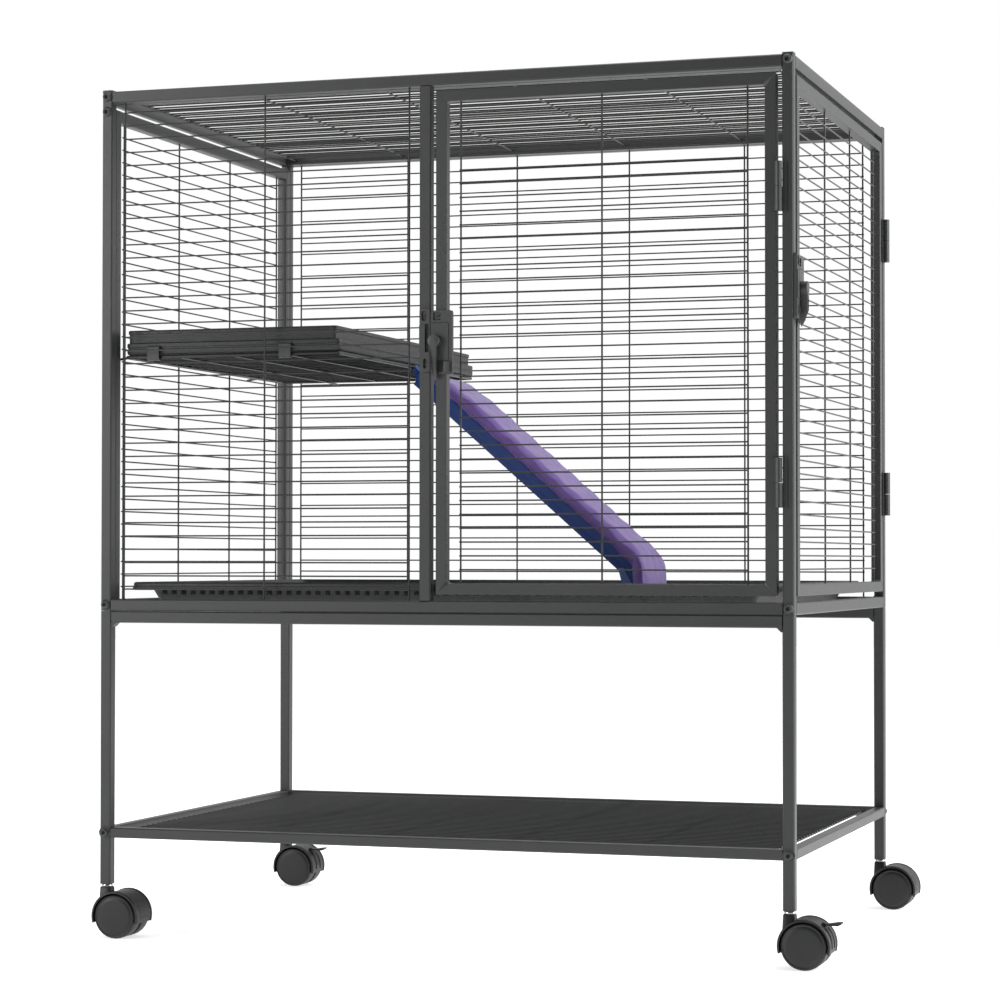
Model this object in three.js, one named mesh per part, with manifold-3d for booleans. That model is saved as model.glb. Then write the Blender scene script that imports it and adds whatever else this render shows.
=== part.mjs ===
// A wheeled wire cage for small animals: a tube and wire box with two doors, a shelf with a
// padded ramp, a pull-out floor tray, and a stand with a storage rack on four twin-wheel casters.
//
// Millimetres. While the pieces are made, X runs right from the middle of the front, Y runs
// back from the front face and Z runs up from the floor. The finished group is then centred
// over its own footprint.
import * as THREE from 'three';
import { mergeVertices } from 'three/addons/utils/BufferGeometryUtils.js';
import Module from 'manifold-3d';

const wasm = await Module();
wasm.setup();
const { Manifold } = wasm;

// ---------------------------------------------------------------- driving dimensions

const width = 914;
const depth = 622;
const legHeight = 353;
const boxHeight = 677;
const fit = 0.3;

const post = 14;
const centrePostWidth = 15;
const legTube = 14.7;
const railHeight = 15;
const doorStile = 14;
const doorRail = 14;
const tubeCorner = 1.5;
const postCap = 2;
const gusset = { size: 5, thick: 1.5 };

const lineWire = 2;
const crossWire = 2.4;
const wireInset = 5.5;
const tack = 0.6;
const cleanUp = 0.002;

const centrePostX = -11.6;
const doorLatchGap = 6.9;
const doorHingeGap = 7.2;
const doorTopGap = 6.9;
const doorBottomGap = 7.6;
const sideLatchGap = 8.3;
const doorCorner = 4;
const sidePanelDrop = 6.7;

const rackHeight = 60;
const rackRail = 13.2;
const rackWireDrop = 4;

const hinge = { height: 60, radius: 4.7, plate: 1.6, reach: 4.6, lowerZ: 580, upperZ: 936 };

// Levels of the latch are heights from its pivot. A recess or block of the keeper is placed from
// the keeper's left edge, and the panel, toe and screw recess from the housing's edges.
const latch = { frontZ: 760, sideZ: 815.5, gap: 1.6, pivot: 0.6, backing: 1.2 };
const keeper = {
  z: [-38.2, 40.8], edge: 0.8, proud: 4, corner: 2, block: { width: 7.5, z: [-13.2, 20.5], proud: 5.2 },
  mouth: { z: [-13.2, 22] }, recess: { inset: 2.7, width: 6.6, z: [25.8, 38], deep: 2.6 },
  slot: { inset: 5, width: 4.4, z: [-34, -21.4] },
};
const housing = {
  z: [-41.5, 38.5], beyond: 8.8, proud: 3, corner: 3, rim: 2,
  panel: { left: 1.6, right: 4.8, z: [-23.4, 22.3], proud: 3.8 }, groove: { height: 1.2, deep: 0.8 },
  toe: { left: 16, right: 1.4, z: [-40, -23.7], proud: 4.2 },
  screw: { left: 3.4, size: 9.8, z: 31, deep: 2 },
};
const lever = {
  head: 8, tip: 2.8, length: 45.5, proud: 13, slope: 33, end: 2.2, ease: 1.4, pin: 2.2, boss: 4.6,
};

const tray = { inset: 30, play: 8, lip: 10.5, flange: 27, slope: 22, skin: 2.4, depth: 28.5, corner: 14 };

const pan = { width: 295, height: 30, left: 10, front: 8, rear: 51, corner: 16, skin: 3, ridge: 1.5 };
const platformZ = 754;
const rack = {
  rod: 5, line: 2.4, pitch: 26.5, margin: 12, rearGap: 6, beyond: 3, stayInset: 76,
  tab: { width: 12, thick: 2, inset: 120, grip: 6, offset: 20 },
};
const clip = { width: 16, wall: 2.4, grip: 11, lip: 4, left: 41, right: 70 };

const ramp = {
  slope: THREE.MathUtils.degToRad(41.2), board: 20, boardWidth: 110, middleY: 344, drop: 22, heel: 33.5,
  pad: 14, coverWidth: 122, coverStart: 14, nose: 16, foot: 14, toe: 6, hem: 4, round: 8, crest: 16,
  hook: { thick: 2.4, play: 0.4, width: 14, from: -100, to: 112, neck: 16, spacing: 1.5 },
};

const caster = {
  height: 68, wheel: 29, width: 48, trail: 21, hood: 3, hoodPlay: 0.7, web: 5, webPlay: 0.6,
  axle: 3, axlePlay: 0.4, stem: 4, stemPlay: 0.5, stemLength: 30, boreMore: 3, collar: 7.5, collarBase: 20,
  ring: 2, dip: 9, chamfer: 1.2, dish: 4,
};
const brake = { hub: 3, hubWidth: 12, reach: 21, thick: 2, angle: 50, play: 0.4, travel: 3.2 };

// ---------------------------------------------------------------- levels and places

const footZ = caster.height;
const seamZ = footZ + legHeight;
const boxBottom = seamZ + fit / 2;
const boxTop = seamZ + boxHeight;
const railTop = boxTop - postCap;
const halfWidth = width / 2;
const innerX = halfWidth - post;
const innerY = [post + fit, depth - post - fit];
const bottomRail = [boxBottom, boxBottom + railHeight];
const topRail = [railTop - railHeight, railTop];
const doorZ = [bottomRail[1] + doorBottomGap, topRail[0] - doorTopGap];
const centrePost = [centrePostX - centrePostWidth / 2, centrePostX + centrePostWidth / 2];
const frontDoorX = [centrePost[1] + doorLatchGap, innerX - doorHingeGap];
const sideDoorY = [post + sideLatchGap, depth - post - doorHingeGap];

// ---------------------------------------------------------------- materials

const paint = (name, color, roughness, metalness) => {
  const material = new THREE.MeshStandardMaterial({ color, roughness, metalness, flatShading: true });
  material.name = name;
  return material;
};
const powderCoat = paint('powder coated steel', 0x3e4040, 0.5, 0.2);
const blackPlastic = paint('black plastic', 0x2b2c2e, 0.45, 0);
const trayPlastic = paint('charcoal plastic', 0x353638, 0.5, 0);
const tread = paint('hard rubber tread', 0x242526, 0.7, 0);
const bluePlastic = paint('blue plastic', 0x1d3a78, 0.4, 0);
const lilacCloth = paint('lilac satin cloth', 0x8a6fb4, 0.7, 0);

// ---------------------------------------------------------------- geometry helpers

/** The solid of a closed geometry, with its vertices merged. */
function solid(geometry) {
  const bare = new THREE.BufferGeometry();
  bare.setAttribute('position', geometry.getAttribute('position'));
  if (geometry.index) bare.setIndex(geometry.index);
  const merged = mergeVertices(bare, 1e-4);
  return new Manifold(new wasm.Mesh({
    numProp: 3,
    vertProperties: Float32Array.from(merged.getAttribute('position').array),
    triVerts: Uint32Array.from(merged.index.array),
  }));
}

/** The geometry of a solid, its flat faces merged, with one normal for each facet. */
function geometryOf(body) {
  const mesh = body.asOriginal().setTolerance(cleanUp).getMesh();
  const indexed = new THREE.BufferGeometry();
  indexed.setAttribute('position', new THREE.BufferAttribute(mesh.vertProperties, 3));
  indexed.setIndex(new THREE.BufferAttribute(mesh.triVerts, 1));
  const flat = indexed.toNonIndexed();
  flat.computeVertexNormals();
  return flat;
}

const join = (...bodies) => Manifold.union(bodies.flat());
const span = (start, length) => [start, start + length];
const around = (centre, size) => [centre - size / 2, centre + size / 2];
const mirrored = ([low, high]) => [-high, -low];
const swap = (points) => points.map(([a, b]) => [b, a]);
const row = (first, count, pitch) => Array.from({ length: count }, (_, i) => first + i * pitch);

/** Evenly pitched places that leave about the same margin at both ends of a span. */
function spread([low, high], pitch, margin) {
  const count = Math.floor((high - low - 2 * margin) / pitch + 1e-6) + 1;
  return row((low + high - (count - 1) * pitch) / 2, count, pitch);
}

/** An extrusion along a main axis. The shape is drawn in the next two axes, in cyclic order. */
function prism(shape, axis, [from, to], curveSegments = 3) {
  const geometry = new THREE.ExtrudeGeometry(shape, {
    depth: to - from, bevelEnabled: false, curveSegments,
  });
  const unit = [0, 1, 2].map((i) => new THREE.Vector3().setComponent(i, 1));
  const turn = new THREE.Matrix4().makeBasis(unit[(axis + 1) % 3], unit[(axis + 2) % 3], unit[axis]);
  geometry.applyMatrix4(turn);
  const shift = unit[axis].multiplyScalar(from);
  geometry.translate(shift.x, shift.y, shift.z);
  return solid(geometry);
}

/** A rectangle with rounded corners, as a shape or as the hole of one. */
function rectangle([x0, x1], [y0, y1], corner, Kind = THREE.Shape) {
  const path = new Kind();
  path.moveTo(x0 + corner, y0);
  path.lineTo(x1 - corner, y0);
  path.quadraticCurveTo(x1, y0, x1, y0 + corner);
  path.lineTo(x1, y1 - corner);
  path.quadraticCurveTo(x1, y1, x1 - corner, y1);
  path.lineTo(x0 + corner, y1);
  path.quadraticCurveTo(x0, y1, x0, y1 - corner);
  path.lineTo(x0, y0 + corner);
  path.quadraticCurveTo(x0, y0, x0 + corner, y0);
  return path;
}

/** A shape through straight-sided points. */
function polygon(points) {
  return new THREE.Shape(points.map(([a, b]) => new THREE.Vector2(a, b)));
}

/** A plain block given by its spans along X, Y and Z. */
function block(x, y, z) {
  const geometry = new THREE.BoxGeometry(x[1] - x[0], y[1] - y[0], z[1] - z[0]);
  geometry.translate((x[0] + x[1]) / 2, (y[0] + y[1]) / 2, (z[0] + z[1]) / 2);
  return solid(geometry);
}

/** A straight square tube with eased corners, along its longest span. */
function tube(x, y, z, corner = tubeCorner) {
  const spans = [x, y, z];
  const sizes = spans.map(([low, high]) => high - low);
  const axis = sizes.indexOf(Math.max(...sizes));
  const section = rectangle(spans[(axis + 1) % 3], spans[(axis + 2) % 3], corner);
  return prism(section, axis, spans[axis], 1);
}

/** A flat frame cut from one shape: spans across its axis, its thickness and its tube sizes. */
function frame(axis, u, v, thickness, uTube, vTube, corner) {
  const shape = rectangle(u, v, tubeCorner);
  const inner = rectangle([u[0] + uTube, u[1] - uTube], [v[0] + vTube, v[1] - vTube], corner, THREE.Path);
  shape.holes.push(inner);
  return prism(shape, axis, thickness, 2);
}

/** A round bar along a main axis. */
function roundBar(axis, [from, to], u, v, radius, sides = 12) {
  const shape = new THREE.Shape();
  shape.absarc(u, v, radius, 0, 2 * Math.PI);
  return prism(shape, axis, [from, to], sides);
}

/** A closed body through level outlines of equal point counts, each a list of [x, y] and a height. */
function loft(levels) {
  const count = levels[0].outline.length;
  const points = levels.flatMap(({ outline, z }) => outline.map(([x, y]) => [x, y, z])).flat();
  const faces = [];
  for (let level = 0; level < levels.length - 1; level++) {
    for (let i = 0; i < count; i++) {
      const a = level * count + i;
      const b = level * count + ((i + 1) % count);
      faces.push(a, b, b + count, a, b + count, a + count);
    }
  }
  const last = (levels.length - 1) * count;
  for (let i = 1; i < count - 1; i++) {
    faces.push(0, i + 1, i, last, last + i, last + i + 1);
  }
  const geometry = new THREE.BufferGeometry();
  geometry.setAttribute('position', new THREE.Float32BufferAttribute(points, 3));
  geometry.setIndex(faces);
  return solid(geometry);
}

/** The outline of a rounded rectangle drawn in from its edges, for a loft. */
function outline(x, y, corner, inset, z) {
  const left = x[0] + inset;
  const right = x[1] - inset;
  const near = y[0] + inset;
  const far = y[1] - inset;
  const radius = Math.max(corner - inset / 2, 2);
  const shape = rectangle([left, right], [near, far], radius);
  const points = shape.getPoints(3).map(({ x: px, y: py }) => [px, py]);
  points.pop();
  return { outline: points, z };
}

/** Turns a piece made for the front face so that it serves the right side face. */
const onSide = (body) => body.rotate([0, 0, 90]);

// ---------------------------------------------------------------- wire grilles

/**
 * A welded grille. The lines run along one axis and end in the two outer cross wires. The inner
 * cross wires pass behind the lines and are tacked to the first and the last of them.
 */
function grille({ line, stack, lines, crosses, reach, plane, behind }) {
  const normal = 3 - line - stack;
  const bar = (alongAxis, along, acrossAxis, across, level, size) => {
    const spans = [];
    spans[alongAxis] = along;
    spans[acrossAxis] = around(across, size);
    spans[normal] = around(level, size);
    return block(...spans);
  };
  const ends = [crosses[0], crosses.at(-1)];
  const innerPlane = plane + behind * ((lineWire + crossWire) / 2 + fit);
  const wires = crosses.map((at) => {
    const level = ends.includes(at) ? plane : innerPlane;
    return bar(stack, reach, line, at, level, crossWire);
  });
  for (const at of lines) {
    const isEdge = at === lines[0] || at === lines.at(-1);
    wires.push(bar(line, ends, stack, at, plane + (isEdge ? behind * tack : 0), lineWire));
  }
  return join(wires);
}

/** Cross wire places: the outer two stand in from the frame and the rest share the room. */
function crossPlaces([low, high], inset, count, farInset = inset) {
  const pitch = (high - low - inset - farInset) / (count - 1);
  return row(low + inset, count, pitch);
}

const sunk = ([low, high], depthIn) => [low - depthIn, high + depthIn];

// ---------------------------------------------------------------- the box

const outerZ = [boxBottom, boxTop];

const leftPanelZ = [boxBottom, topRail[0] - sidePanelDrop];
const leftRoom = [leftPanelZ[0] + railHeight, leftPanelZ[1] - railHeight];
const leftPanelLines = spread(leftRoom, 16.42, 13);
const boxRoom = [bottomRail[1], topRail[0]];
const rearPanelLines = spread(boxRoom, 16.46, 16);

function frontPost(x) {
  return tube(x, [0, post], outerZ);
}

function frontGrille() {
  const opening = [-innerX, centrePost[0]];
  return grille({
    line: 0, stack: 2, plane: wireInset, behind: 1,
    lines: spread(boxRoom, 17.18, 7.9),
    crosses: crossPlaces(opening, 15.8, 3),
    reach: [boxRoom[0] + fit, boxRoom[1] - fit],
  });
}

function leftPanel() {
  const x = [-halfWidth, -innerX];
  const z = leftPanelZ;
  const openY = [innerY[0] + post, innerY[1] - post];
  return join(
    tube(x, [innerY[0], innerY[0] + post], z),
    tube(x, [innerY[1] - post, innerY[1]], z),
    tube(x, sunk(openY, post / 2), [z[0], leftRoom[0]]),
    tube(x, sunk(openY, post / 2), [leftRoom[1], z[1]]),
    grille({
      line: 1, stack: 2, plane: -halfWidth + wireInset, behind: 1,
      lines: leftPanelLines,
      crosses: crossPlaces(openY, 22, 4),
      reach: sunk(leftRoom, railHeight / 3),
    }),
  );
}

function rearPanel() {
  const y = [depth - post, depth];
  const openX = [-innerX, innerX];
  return join(
    tube([-halfWidth, -innerX], y, outerZ),
    tube([innerX, halfWidth], y, outerZ),
    tube(sunk(openX, post / 2), y, bottomRail),
    tube(sunk(openX, post / 2), y, topRail),
    grille({
      line: 0, stack: 2, plane: depth - wireInset, behind: -1,
      lines: rearPanelLines,
      crosses: crossPlaces(openX, 16, 6),
      reach: sunk(boxRoom, railHeight / 3),
    }),
  );
}

function roofPanel() {
  const openX = [-innerX, innerX];
  const openY = [innerY[0] + post, innerY[1] - post];
  return join(
    tube([-halfWidth, -innerX], innerY, topRail),
    tube([innerX, halfWidth], innerY, topRail),
    tube(sunk(openX, post / 2), [innerY[0], openY[0]], topRail),
    tube(sunk(openX, post / 2), [openY[1], innerY[1]], topRail),
    grille({
      line: 0, stack: 1, plane: topRail[0] + railHeight / 2, behind: -1,
      lines: spread(openY, 16.5, 12),
      crosses: crossPlaces(openX, 16, 6),
      reach: sunk(openY, post / 3),
    }),
  );
}

const floorLineZ = boxBottom + railHeight / 2;

function floorGrid() {
  const openX = [-innerX, innerX];
  return grille({
    line: 0, stack: 1, plane: floorLineZ, behind: -1,
    lines: spread(innerY, 16.5, 18),
    crosses: crossPlaces(openX, 16, 6),
    reach: innerY,
  });
}

// ---------------------------------------------------------------- doors and hinges

function frontDoor() {
  const openX = [frontDoorX[0] + doorStile, frontDoorX[1] - doorStile];
  const openZ = [doorZ[0] + doorRail, doorZ[1] - doorRail];
  return join(
    frame(1, doorZ, frontDoorX, [0, doorStile], doorRail, doorStile, doorCorner),
    grille({
      line: 0, stack: 2, plane: wireInset, behind: 1,
      lines: spread(openZ, 17.2, 15),
      crosses: crossPlaces(openX, 16.8, 3, 22.5),
      reach: sunk(openZ, doorRail / 3),
    }),
  );
}

function sideDoor() {
  const openY = [sideDoorY[0] + doorStile, sideDoorY[1] - doorStile];
  const openZ = [doorZ[0] + doorRail, doorZ[1] - doorRail];
  return join(
    frame(0, sideDoorY, doorZ, [halfWidth - doorStile, halfWidth], doorStile, doorRail, doorCorner),
    grille({
      line: 1, stack: 2, plane: halfWidth - wireInset, behind: -1,
      lines: spread(openZ, 16.64, 15),
      crosses: crossPlaces(openY, 20, 4),
      reach: sunk(openZ, doorRail / 3),
    }),
  );
}

// A hinge is made about its own axis, with the door at -X, the post at +X and the outside at -Y.
const hingeStand = hinge.radius + fit;
const hingeX = innerX - doorHingeGap / 2;
const sideHingeY = depth - post - doorHingeGap / 2;

/** One leaf: a plate on the front of its tube, bent round to its knuckle on the hinge's axis. */
function hingeLeaf(side, knuckleZ) {
  const half = hinge.height / 2;
  const near = hinge.radius + 2 * fit;
  const towards = (low, high) => (side > 0 ? [low, high] : [-high, -low]);
  const plateY = [hingeStand - fit - hinge.plate, hingeStand - fit];
  return join(
    block(towards(near, near + hinge.reach), plateY, [-half, half]),
    block(towards(0, near + hinge.reach), plateY, knuckleZ),
    roundBar(2, knuckleZ, 0, 0, hinge.radius, 6),
  );
}

const fixedLeaf = () => hingeLeaf(1, [-hinge.height / 2, -fit]);
const movingLeaf = () => hingeLeaf(-1, [fit, hinge.height / 2]);
const atFront = (body, z) => body.translate([hingeX, -hingeStand, z]);
const atSide = (body, z) => onSide(body).translate([halfWidth + hingeStand, sideHingeY, z]);

// ---------------------------------------------------------------- latches

// A latch is made about its gap and its pivot's level on the outer face: the post is at -X, the
// door at +X and the outside at -Y. A plate is drawn as [z, x] and spans from the face outwards.
const latchBack = -fit;
const leverBack = latchBack - keeper.block.proud - fit;
const outer = (proud) => latchBack - proud;
const pivotFrom = (gap) => gap / 2 + latch.pivot;
const plate = (z, x, proud, corner) => prism(rectangle(z, x, corner), 1, [outer(proud), latchBack], 2);
const hole = (z, x, proud, deep, corner) => prism(
  rectangle(z, x, corner), 1, [outer(proud) - 1, outer(proud) + deep], 2,
);

/** The striker on the post: a screw recess, a proud block beside the bolt's mouth, and a slot. */
function latchKeeper(gap) {
  const { block: rib, mouth, recess, slot } = keeper;
  const x = [-gap / 2 - post + keeper.edge, -gap / 2 - fit];
  const ribX = span(x[0], rib.width);
  const mouthX = [ribX[1], x[1] + 1];
  return join(
    plate(keeper.z, x, keeper.proud, keeper.corner),
    plate(rib.z, ribX, rib.proud, keeper.corner / 2),
  ).subtract(join(
    hole(recess.z, span(x[0] + recess.inset, recess.width), keeper.proud, recess.deep, keeper.corner),
    hole(mouth.z, mouthX, rib.proud, rib.proud - latch.backing, keeper.corner / 4),
    hole(slot.z, span(x[0] + slot.inset, slot.width), keeper.proud, recess.deep, slot.width / 2.1),
  ));
}

/** The latch body on the door: a plate over the gap and the stile, with a rim round the stile. */
function latchHousing(gap) {
  const { panel, groove, toe, screw, proud } = housing;
  const x = [-gap / 2 - fit + latch.gap, gap / 2 + doorStile + housing.beyond];
  const panelX = [x[0] + panel.left, x[1] - panel.right];
  const rimX = [gap / 2 + doorStile + fit, x[1]];
  const rim = prism(rectangle(housing.z, rimX, housing.corner), 1, [outer(proud), housing.rim], 2);
  const grooveZ = span(panel.z[1], groove.height);
  const screwX = span(x[0] + screw.left, screw.size);
  return join(
    plate(housing.z, x, proud, housing.corner),
    rim,
    plate(panel.z, panelX, panel.proud, housing.corner / 2),
    plate(toe.z, [x[0] + toe.left, x[1] - toe.right], toe.proud, housing.corner / 2),
  ).subtract(join(
    hole(around(screw.z, screw.size), screwX, proud, screw.deep, housing.corner / 2),
    block(panelX, [outer(proud) - 1, outer(proud) + groove.deep], grooveZ),
    roundBar(1, [outer(panel.proud) - 1, housing.rim], 0, pivotFrom(gap), lever.pin + fit, 4),
  ));
}

/** The turning lever: a thick teardrop whose tail slopes back to the face, on a pin. */
function latchLever(gap) {
  const pivotX = pivotFrom(gap);
  const turn = Math.asin((lever.head - lever.tip) / lever.length);
  const drop = new THREE.Shape();
  drop.absarc(0, pivotX, lever.head, -Math.PI / 2 - turn, Math.PI / 2 + turn, false);
  drop.absarc(-lever.length, pivotX, lever.tip, Math.PI / 2 + turn, 3 * Math.PI / 2 - turn, false);
  const front = outer(lever.proud);
  const top = lever.head + 1;
  const bottom = -lever.length - lever.tip;
  const side = polygon([
    [leverBack, top], [front + lever.ease, top], [front + lever.ease, lever.head],
    [front, lever.head - lever.ease], [front, -lever.slope], [leverBack - lever.end, bottom],
    [leverBack - lever.end, bottom - 1], [leverBack, bottom - 1],
  ]);
  return join(
    prism(drop, 1, [front, leverBack], 7).intersect(prism(side, 0, around(pivotX, 3 * lever.head), 1)),
    roundBar(1, [leverBack - 1, outer(housing.panel.proud) - fit], 0, pivotX, lever.boss, 5),
    roundBar(1, [leverBack - 1, latchBack - 1], 0, pivotX, lever.pin, 4),
  );
}

const latchX = (centrePost[1] + frontDoorX[0]) / 2;
const latchY = (post + sideDoorY[0]) / 2;
const latchAtFront = (body) => body.translate([latchX, 0, latch.frontZ]);
const latchAtSide = (body) => onSide(body).translate([halfWidth, latchY, latch.sideZ]);

// ---------------------------------------------------------------- floor tray

const trayX = [-halfWidth + tray.inset, halfWidth - tray.inset];
const trayY = [post + tray.play, depth - post - tray.play];
const trayBottom = floorLineZ + lineWire / 2 + fit;
const trayTop = trayBottom + tray.depth;
const trayFloor = trayBottom + tray.skin;

function floorTray() {
  const level = (inset, z) => outline(trayX, trayY, tray.corner, inset, z);
  const floorInset = tray.flange + tray.slope;
  const basin = loft([
    level(floorInset, trayBottom), level(tray.flange, trayTop - tray.skin), level(tray.flange, trayTop),
  ]);
  const hollow = loft([
    level(floorInset + tray.skin, trayFloor), level(tray.flange + tray.skin, trayTop + 1),
  ]);
  const rim = loft([level(0, trayTop - tray.lip), level(0, trayTop)]);
  const under = loft([level(tray.skin, trayTop - tray.lip - 1), level(tray.skin, trayTop - tray.skin)]);
  return join(rim.subtract(under), basin).subtract(hollow);
}

// ---------------------------------------------------------------- platform

const panX = span(-innerX + pan.left, pan.width);
const panY = [post + pan.front, depth - post - pan.rear];
const rackX = [panX[0] - rack.beyond, panX[1] + 1 + rack.rod];
const rackY = [panY[0] - 2, depth - post - rack.rearGap];
const rodTop = platformZ - fit - 0.2;
const rodZ = [rodTop - rack.rod, rodTop];
const pivot = { x: rackX[1] - rack.rod / 2, z: (rodZ[0] + rodZ[1]) / 2 };

/** The side of a tab that hangs the rack on a grille wire, drawn in the wire's direction. */
function hangTab(edge, wireAt, wireZ, outward) {
  const { thick, grip } = rack.tab;
  const over = wireZ + lineWire / 2 + fit;
  const inside = wireAt + outward * (lineWire / 2 + fit);
  const outside = inside + outward * (thick - 2 * fit);
  return [
    [edge, rodZ[0]], [edge, over + thick], [outside, over + thick], [outside, over - grip],
    [inside, over - grip], [inside, over], [edge + outward * thick, over], [edge + outward * thick, rodZ[0]],
  ];
}

function nearestLine(lines, z) {
  return lines.reduce((best, at) => (Math.abs(at - z) < Math.abs(best - z) ? at : best));
}

/** Places at whole pitches from a middle that keep a margin to both ends of a span. */
function rowAbout(middle, [low, high], pitch, margin) {
  const first = Math.ceil((low + margin - middle) / pitch);
  const last = Math.floor((high - margin - middle) / pitch);
  return row(middle + first * pitch, last - first + 1, pitch);
}

function platformRack() {
  const { tab, rod, line } = rack;
  const leftLine = nearestLine(leftPanelLines, rodZ[0]);
  const rearLine = nearestLine(rearPanelLines, rodZ[0]);
  const leftTab = polygon(swap(hangTab(rackX[0] + tab.thick, -halfWidth + wireInset, leftLine, -1)));
  const rearTab = polygon(hangTab(rackY[1] - tab.thick, depth - wireInset, rearLine, 1));
  const lineZ = [platformZ - fit - line, platformZ - fit];
  const lines = rowAbout(ramp.middleY, rackY, rack.pitch, rack.margin)
    .map((y) => block([rackX[0] + 1, pivot.x], around(y, line), lineZ));
  const stayZ = [lineZ[0] - fit - line, lineZ[0] - fit];
  const stays = crossPlaces(rackX, rack.stayInset, 3)
    .map((x) => block(around(x, line), [rackY[0] + 1, rackY[1] - 1], stayZ));
  const tabs = [rackY[0] + tab.inset, rackY[1] - tab.inset]
    .map((y) => prism(leftTab, 1, around(y, tab.width), 1));
  return join(
    block([rackX[0], rackX[0] + rod], rackY, rodZ),
    block([rackX[0], pivot.x], span(rackY[0], rod), rodZ),
    block([rackX[0], pivot.x], [rackY[1] - rod, rackY[1]], rodZ),
    roundBar(1, rackY, pivot.z, pivot.x, rod / 2, 4),
    lines,
    stays,
    tabs,
    prism(rearTab, 0, around((rackX[0] + rackX[1]) / 2 + tab.offset, tab.width), 1),
  );
}

function platformPan() {
  const top = platformZ + pan.height;
  const mid = platformZ + pan.height / 2;
  const level = (inset, z) => outline(panX, panY, pan.corner, inset, z);
  const shell = loft([
    level(pan.skin, platformZ), level(0, platformZ + 4), level(0, mid), level(pan.ridge, mid + 1),
    level(pan.ridge, top),
  ]);
  const hollow = loft([level(2 * pan.skin, platformZ + pan.skin), level(pan.ridge + pan.skin, top + 1)]);
  return shell.subtract(hollow);
}

/** A clip that grips the front rod of the rack and holds the pan's wall. */
function panClip(centreX) {
  const { wall, lip } = clip;
  const face = panY[0] - fit;
  const front = rackY[0] - fit - wall;
  const low = rodZ[0] - fit - wall;
  const high = platformZ + clip.grip;
  const rodBack = rackY[0] + rack.rod;
  const profile = polygon([
    [front, low], [rodBack, low], [rodBack, low + wall], [front + wall, low + wall],
    [front + wall, high - lip], [face, high - lip], [face, high], [front + wall / 2, high],
    [front, high - lip / 2],
  ]);
  return prism(profile, 0, around(centreX, clip.width), 1);
}

// ---------------------------------------------------------------- ramp

const slopeX = Math.cos(ramp.slope);
const slopeZ = -Math.sin(ramp.slope);

/** A point at a distance down the ramp and a height square to it, from the lower corner of its top end. */
function onRamp(along, up) {
  const start = { x: pivot.x + 1, z: pivot.z - ramp.drop };
  return [start.x + along * slopeX - up * slopeZ, start.z + along * slopeZ + up * slopeX];
}

const footBottom = trayFloor + fit;
const rampLength = (pivot.z - ramp.drop - footBottom - ramp.heel) / -slopeZ;
const rampEnd = onRamp(rampLength, 0);
const rampTip = onRamp(rampLength, ramp.board);
const boardY = around(ramp.middleY, ramp.boardWidth);
const coverY = around(ramp.middleY, ramp.coverWidth);

/** A hook that goes round the rod of the rack, open to the side of the pan, on a neck. */
function rampHook(y) {
  const { thick, play, width: hookWidth, from, to, neck } = ramp.hook;
  const inner = rack.rod / 2 + play;
  const outside = inner + thick;
  // Drawn as [z, x], so an angle from +X towards +Z becomes its complement.
  const flip = (angle) => Math.PI / 2 - THREE.MathUtils.degToRad(angle);
  const shape = new THREE.Shape();
  shape.absarc(pivot.z, pivot.x, outside, flip(from), flip(to), true);
  shape.absarc(pivot.z, pivot.x, inner, flip(to), flip(from), false);
  const stalk = polygon(swap([
    [pivot.x + inner + play / 2, pivot.z + thick / 2], [pivot.x + inner - play, pivot.z - thick / 2],
    onRamp(2, 2), onRamp(neck, ramp.board - 2), [pivot.x + outside + play, pivot.z],
  ]));
  return join(prism(shape, 1, around(y, hookWidth), 8), prism(stalk, 1, around(y, hookWidth), 1));
}

function rampBoard() {
  const side = polygon(swap([
    onRamp(0, 0), onRamp(rampLength - ramp.foot, 0), [rampEnd[0] - ramp.toe, footBottom],
    [rampTip[0], footBottom], rampTip, onRamp(0, ramp.board),
  ]));
  const offset = ramp.hook.spacing * rack.pitch;
  const hooks = [ramp.middleY - offset, ramp.middleY + offset].map(rampHook);
  return join(prism(side, 1, boardY, 1), hooks);
}

function rampCover() {
  const { coverStart, hem, round, crest } = ramp;
  const under = ramp.board + fit;
  const over = under + ramp.pad;
  const inner = rampTip[0] + fit;
  const outside = inner + ramp.nose;
  const innerTop = onRamp(rampLength, under);
  const topAtNose = onRamp((outside - onRamp(0, over)[0]) / slopeX, over);
  const bottom = footBottom + hem;
  const start = onRamp(coverStart, under);
  const shape = new THREE.Shape();
  shape.moveTo(start[1], start[0]);
  const to = ([x, z]) => shape.lineTo(z, x);
  const easeTo = ([cx, cz], [x, z]) => shape.quadraticCurveTo(cz, cx, z, x);
  to(innerTop);
  to([inner, innerTop[1] - hem]);
  to([inner, bottom]);
  to([outside - hem, bottom]);
  easeTo([outside, bottom], [outside, bottom + hem]);
  to([outside, topAtNose[1] - crest]);
  easeTo(topAtNose, [topAtNose[0] - crest * slopeX, topAtNose[1] - crest * slopeZ]);
  to(onRamp(coverStart + round, over));
  easeTo(onRamp(coverStart, over), onRamp(coverStart, over - round));
  return prism(shape, 1, coverY, 4);
}

// ---------------------------------------------------------------- stand

function leg(signX, rear) {
  const x = signX < 0 ? [-halfWidth, -halfWidth + legTube] : [halfWidth - legTube, halfWidth];
  const y = rear ? [depth - legTube, depth] : [0, legTube];
  const bore = roundBar(2, [footZ - 1, footZ + caster.stemLength + caster.boreMore], (x[0] + x[1]) / 2,
    (y[0] + y[1]) / 2, caster.stem + caster.stemPlay, 4);
  return tube(x, y, [footZ, seamZ - fit / 2]).subtract(bore);
}

const legInnerX = halfWidth - legTube - fit;
const standRailZ = [seamZ - fit / 2 - railHeight, seamZ - fit / 2];

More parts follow.
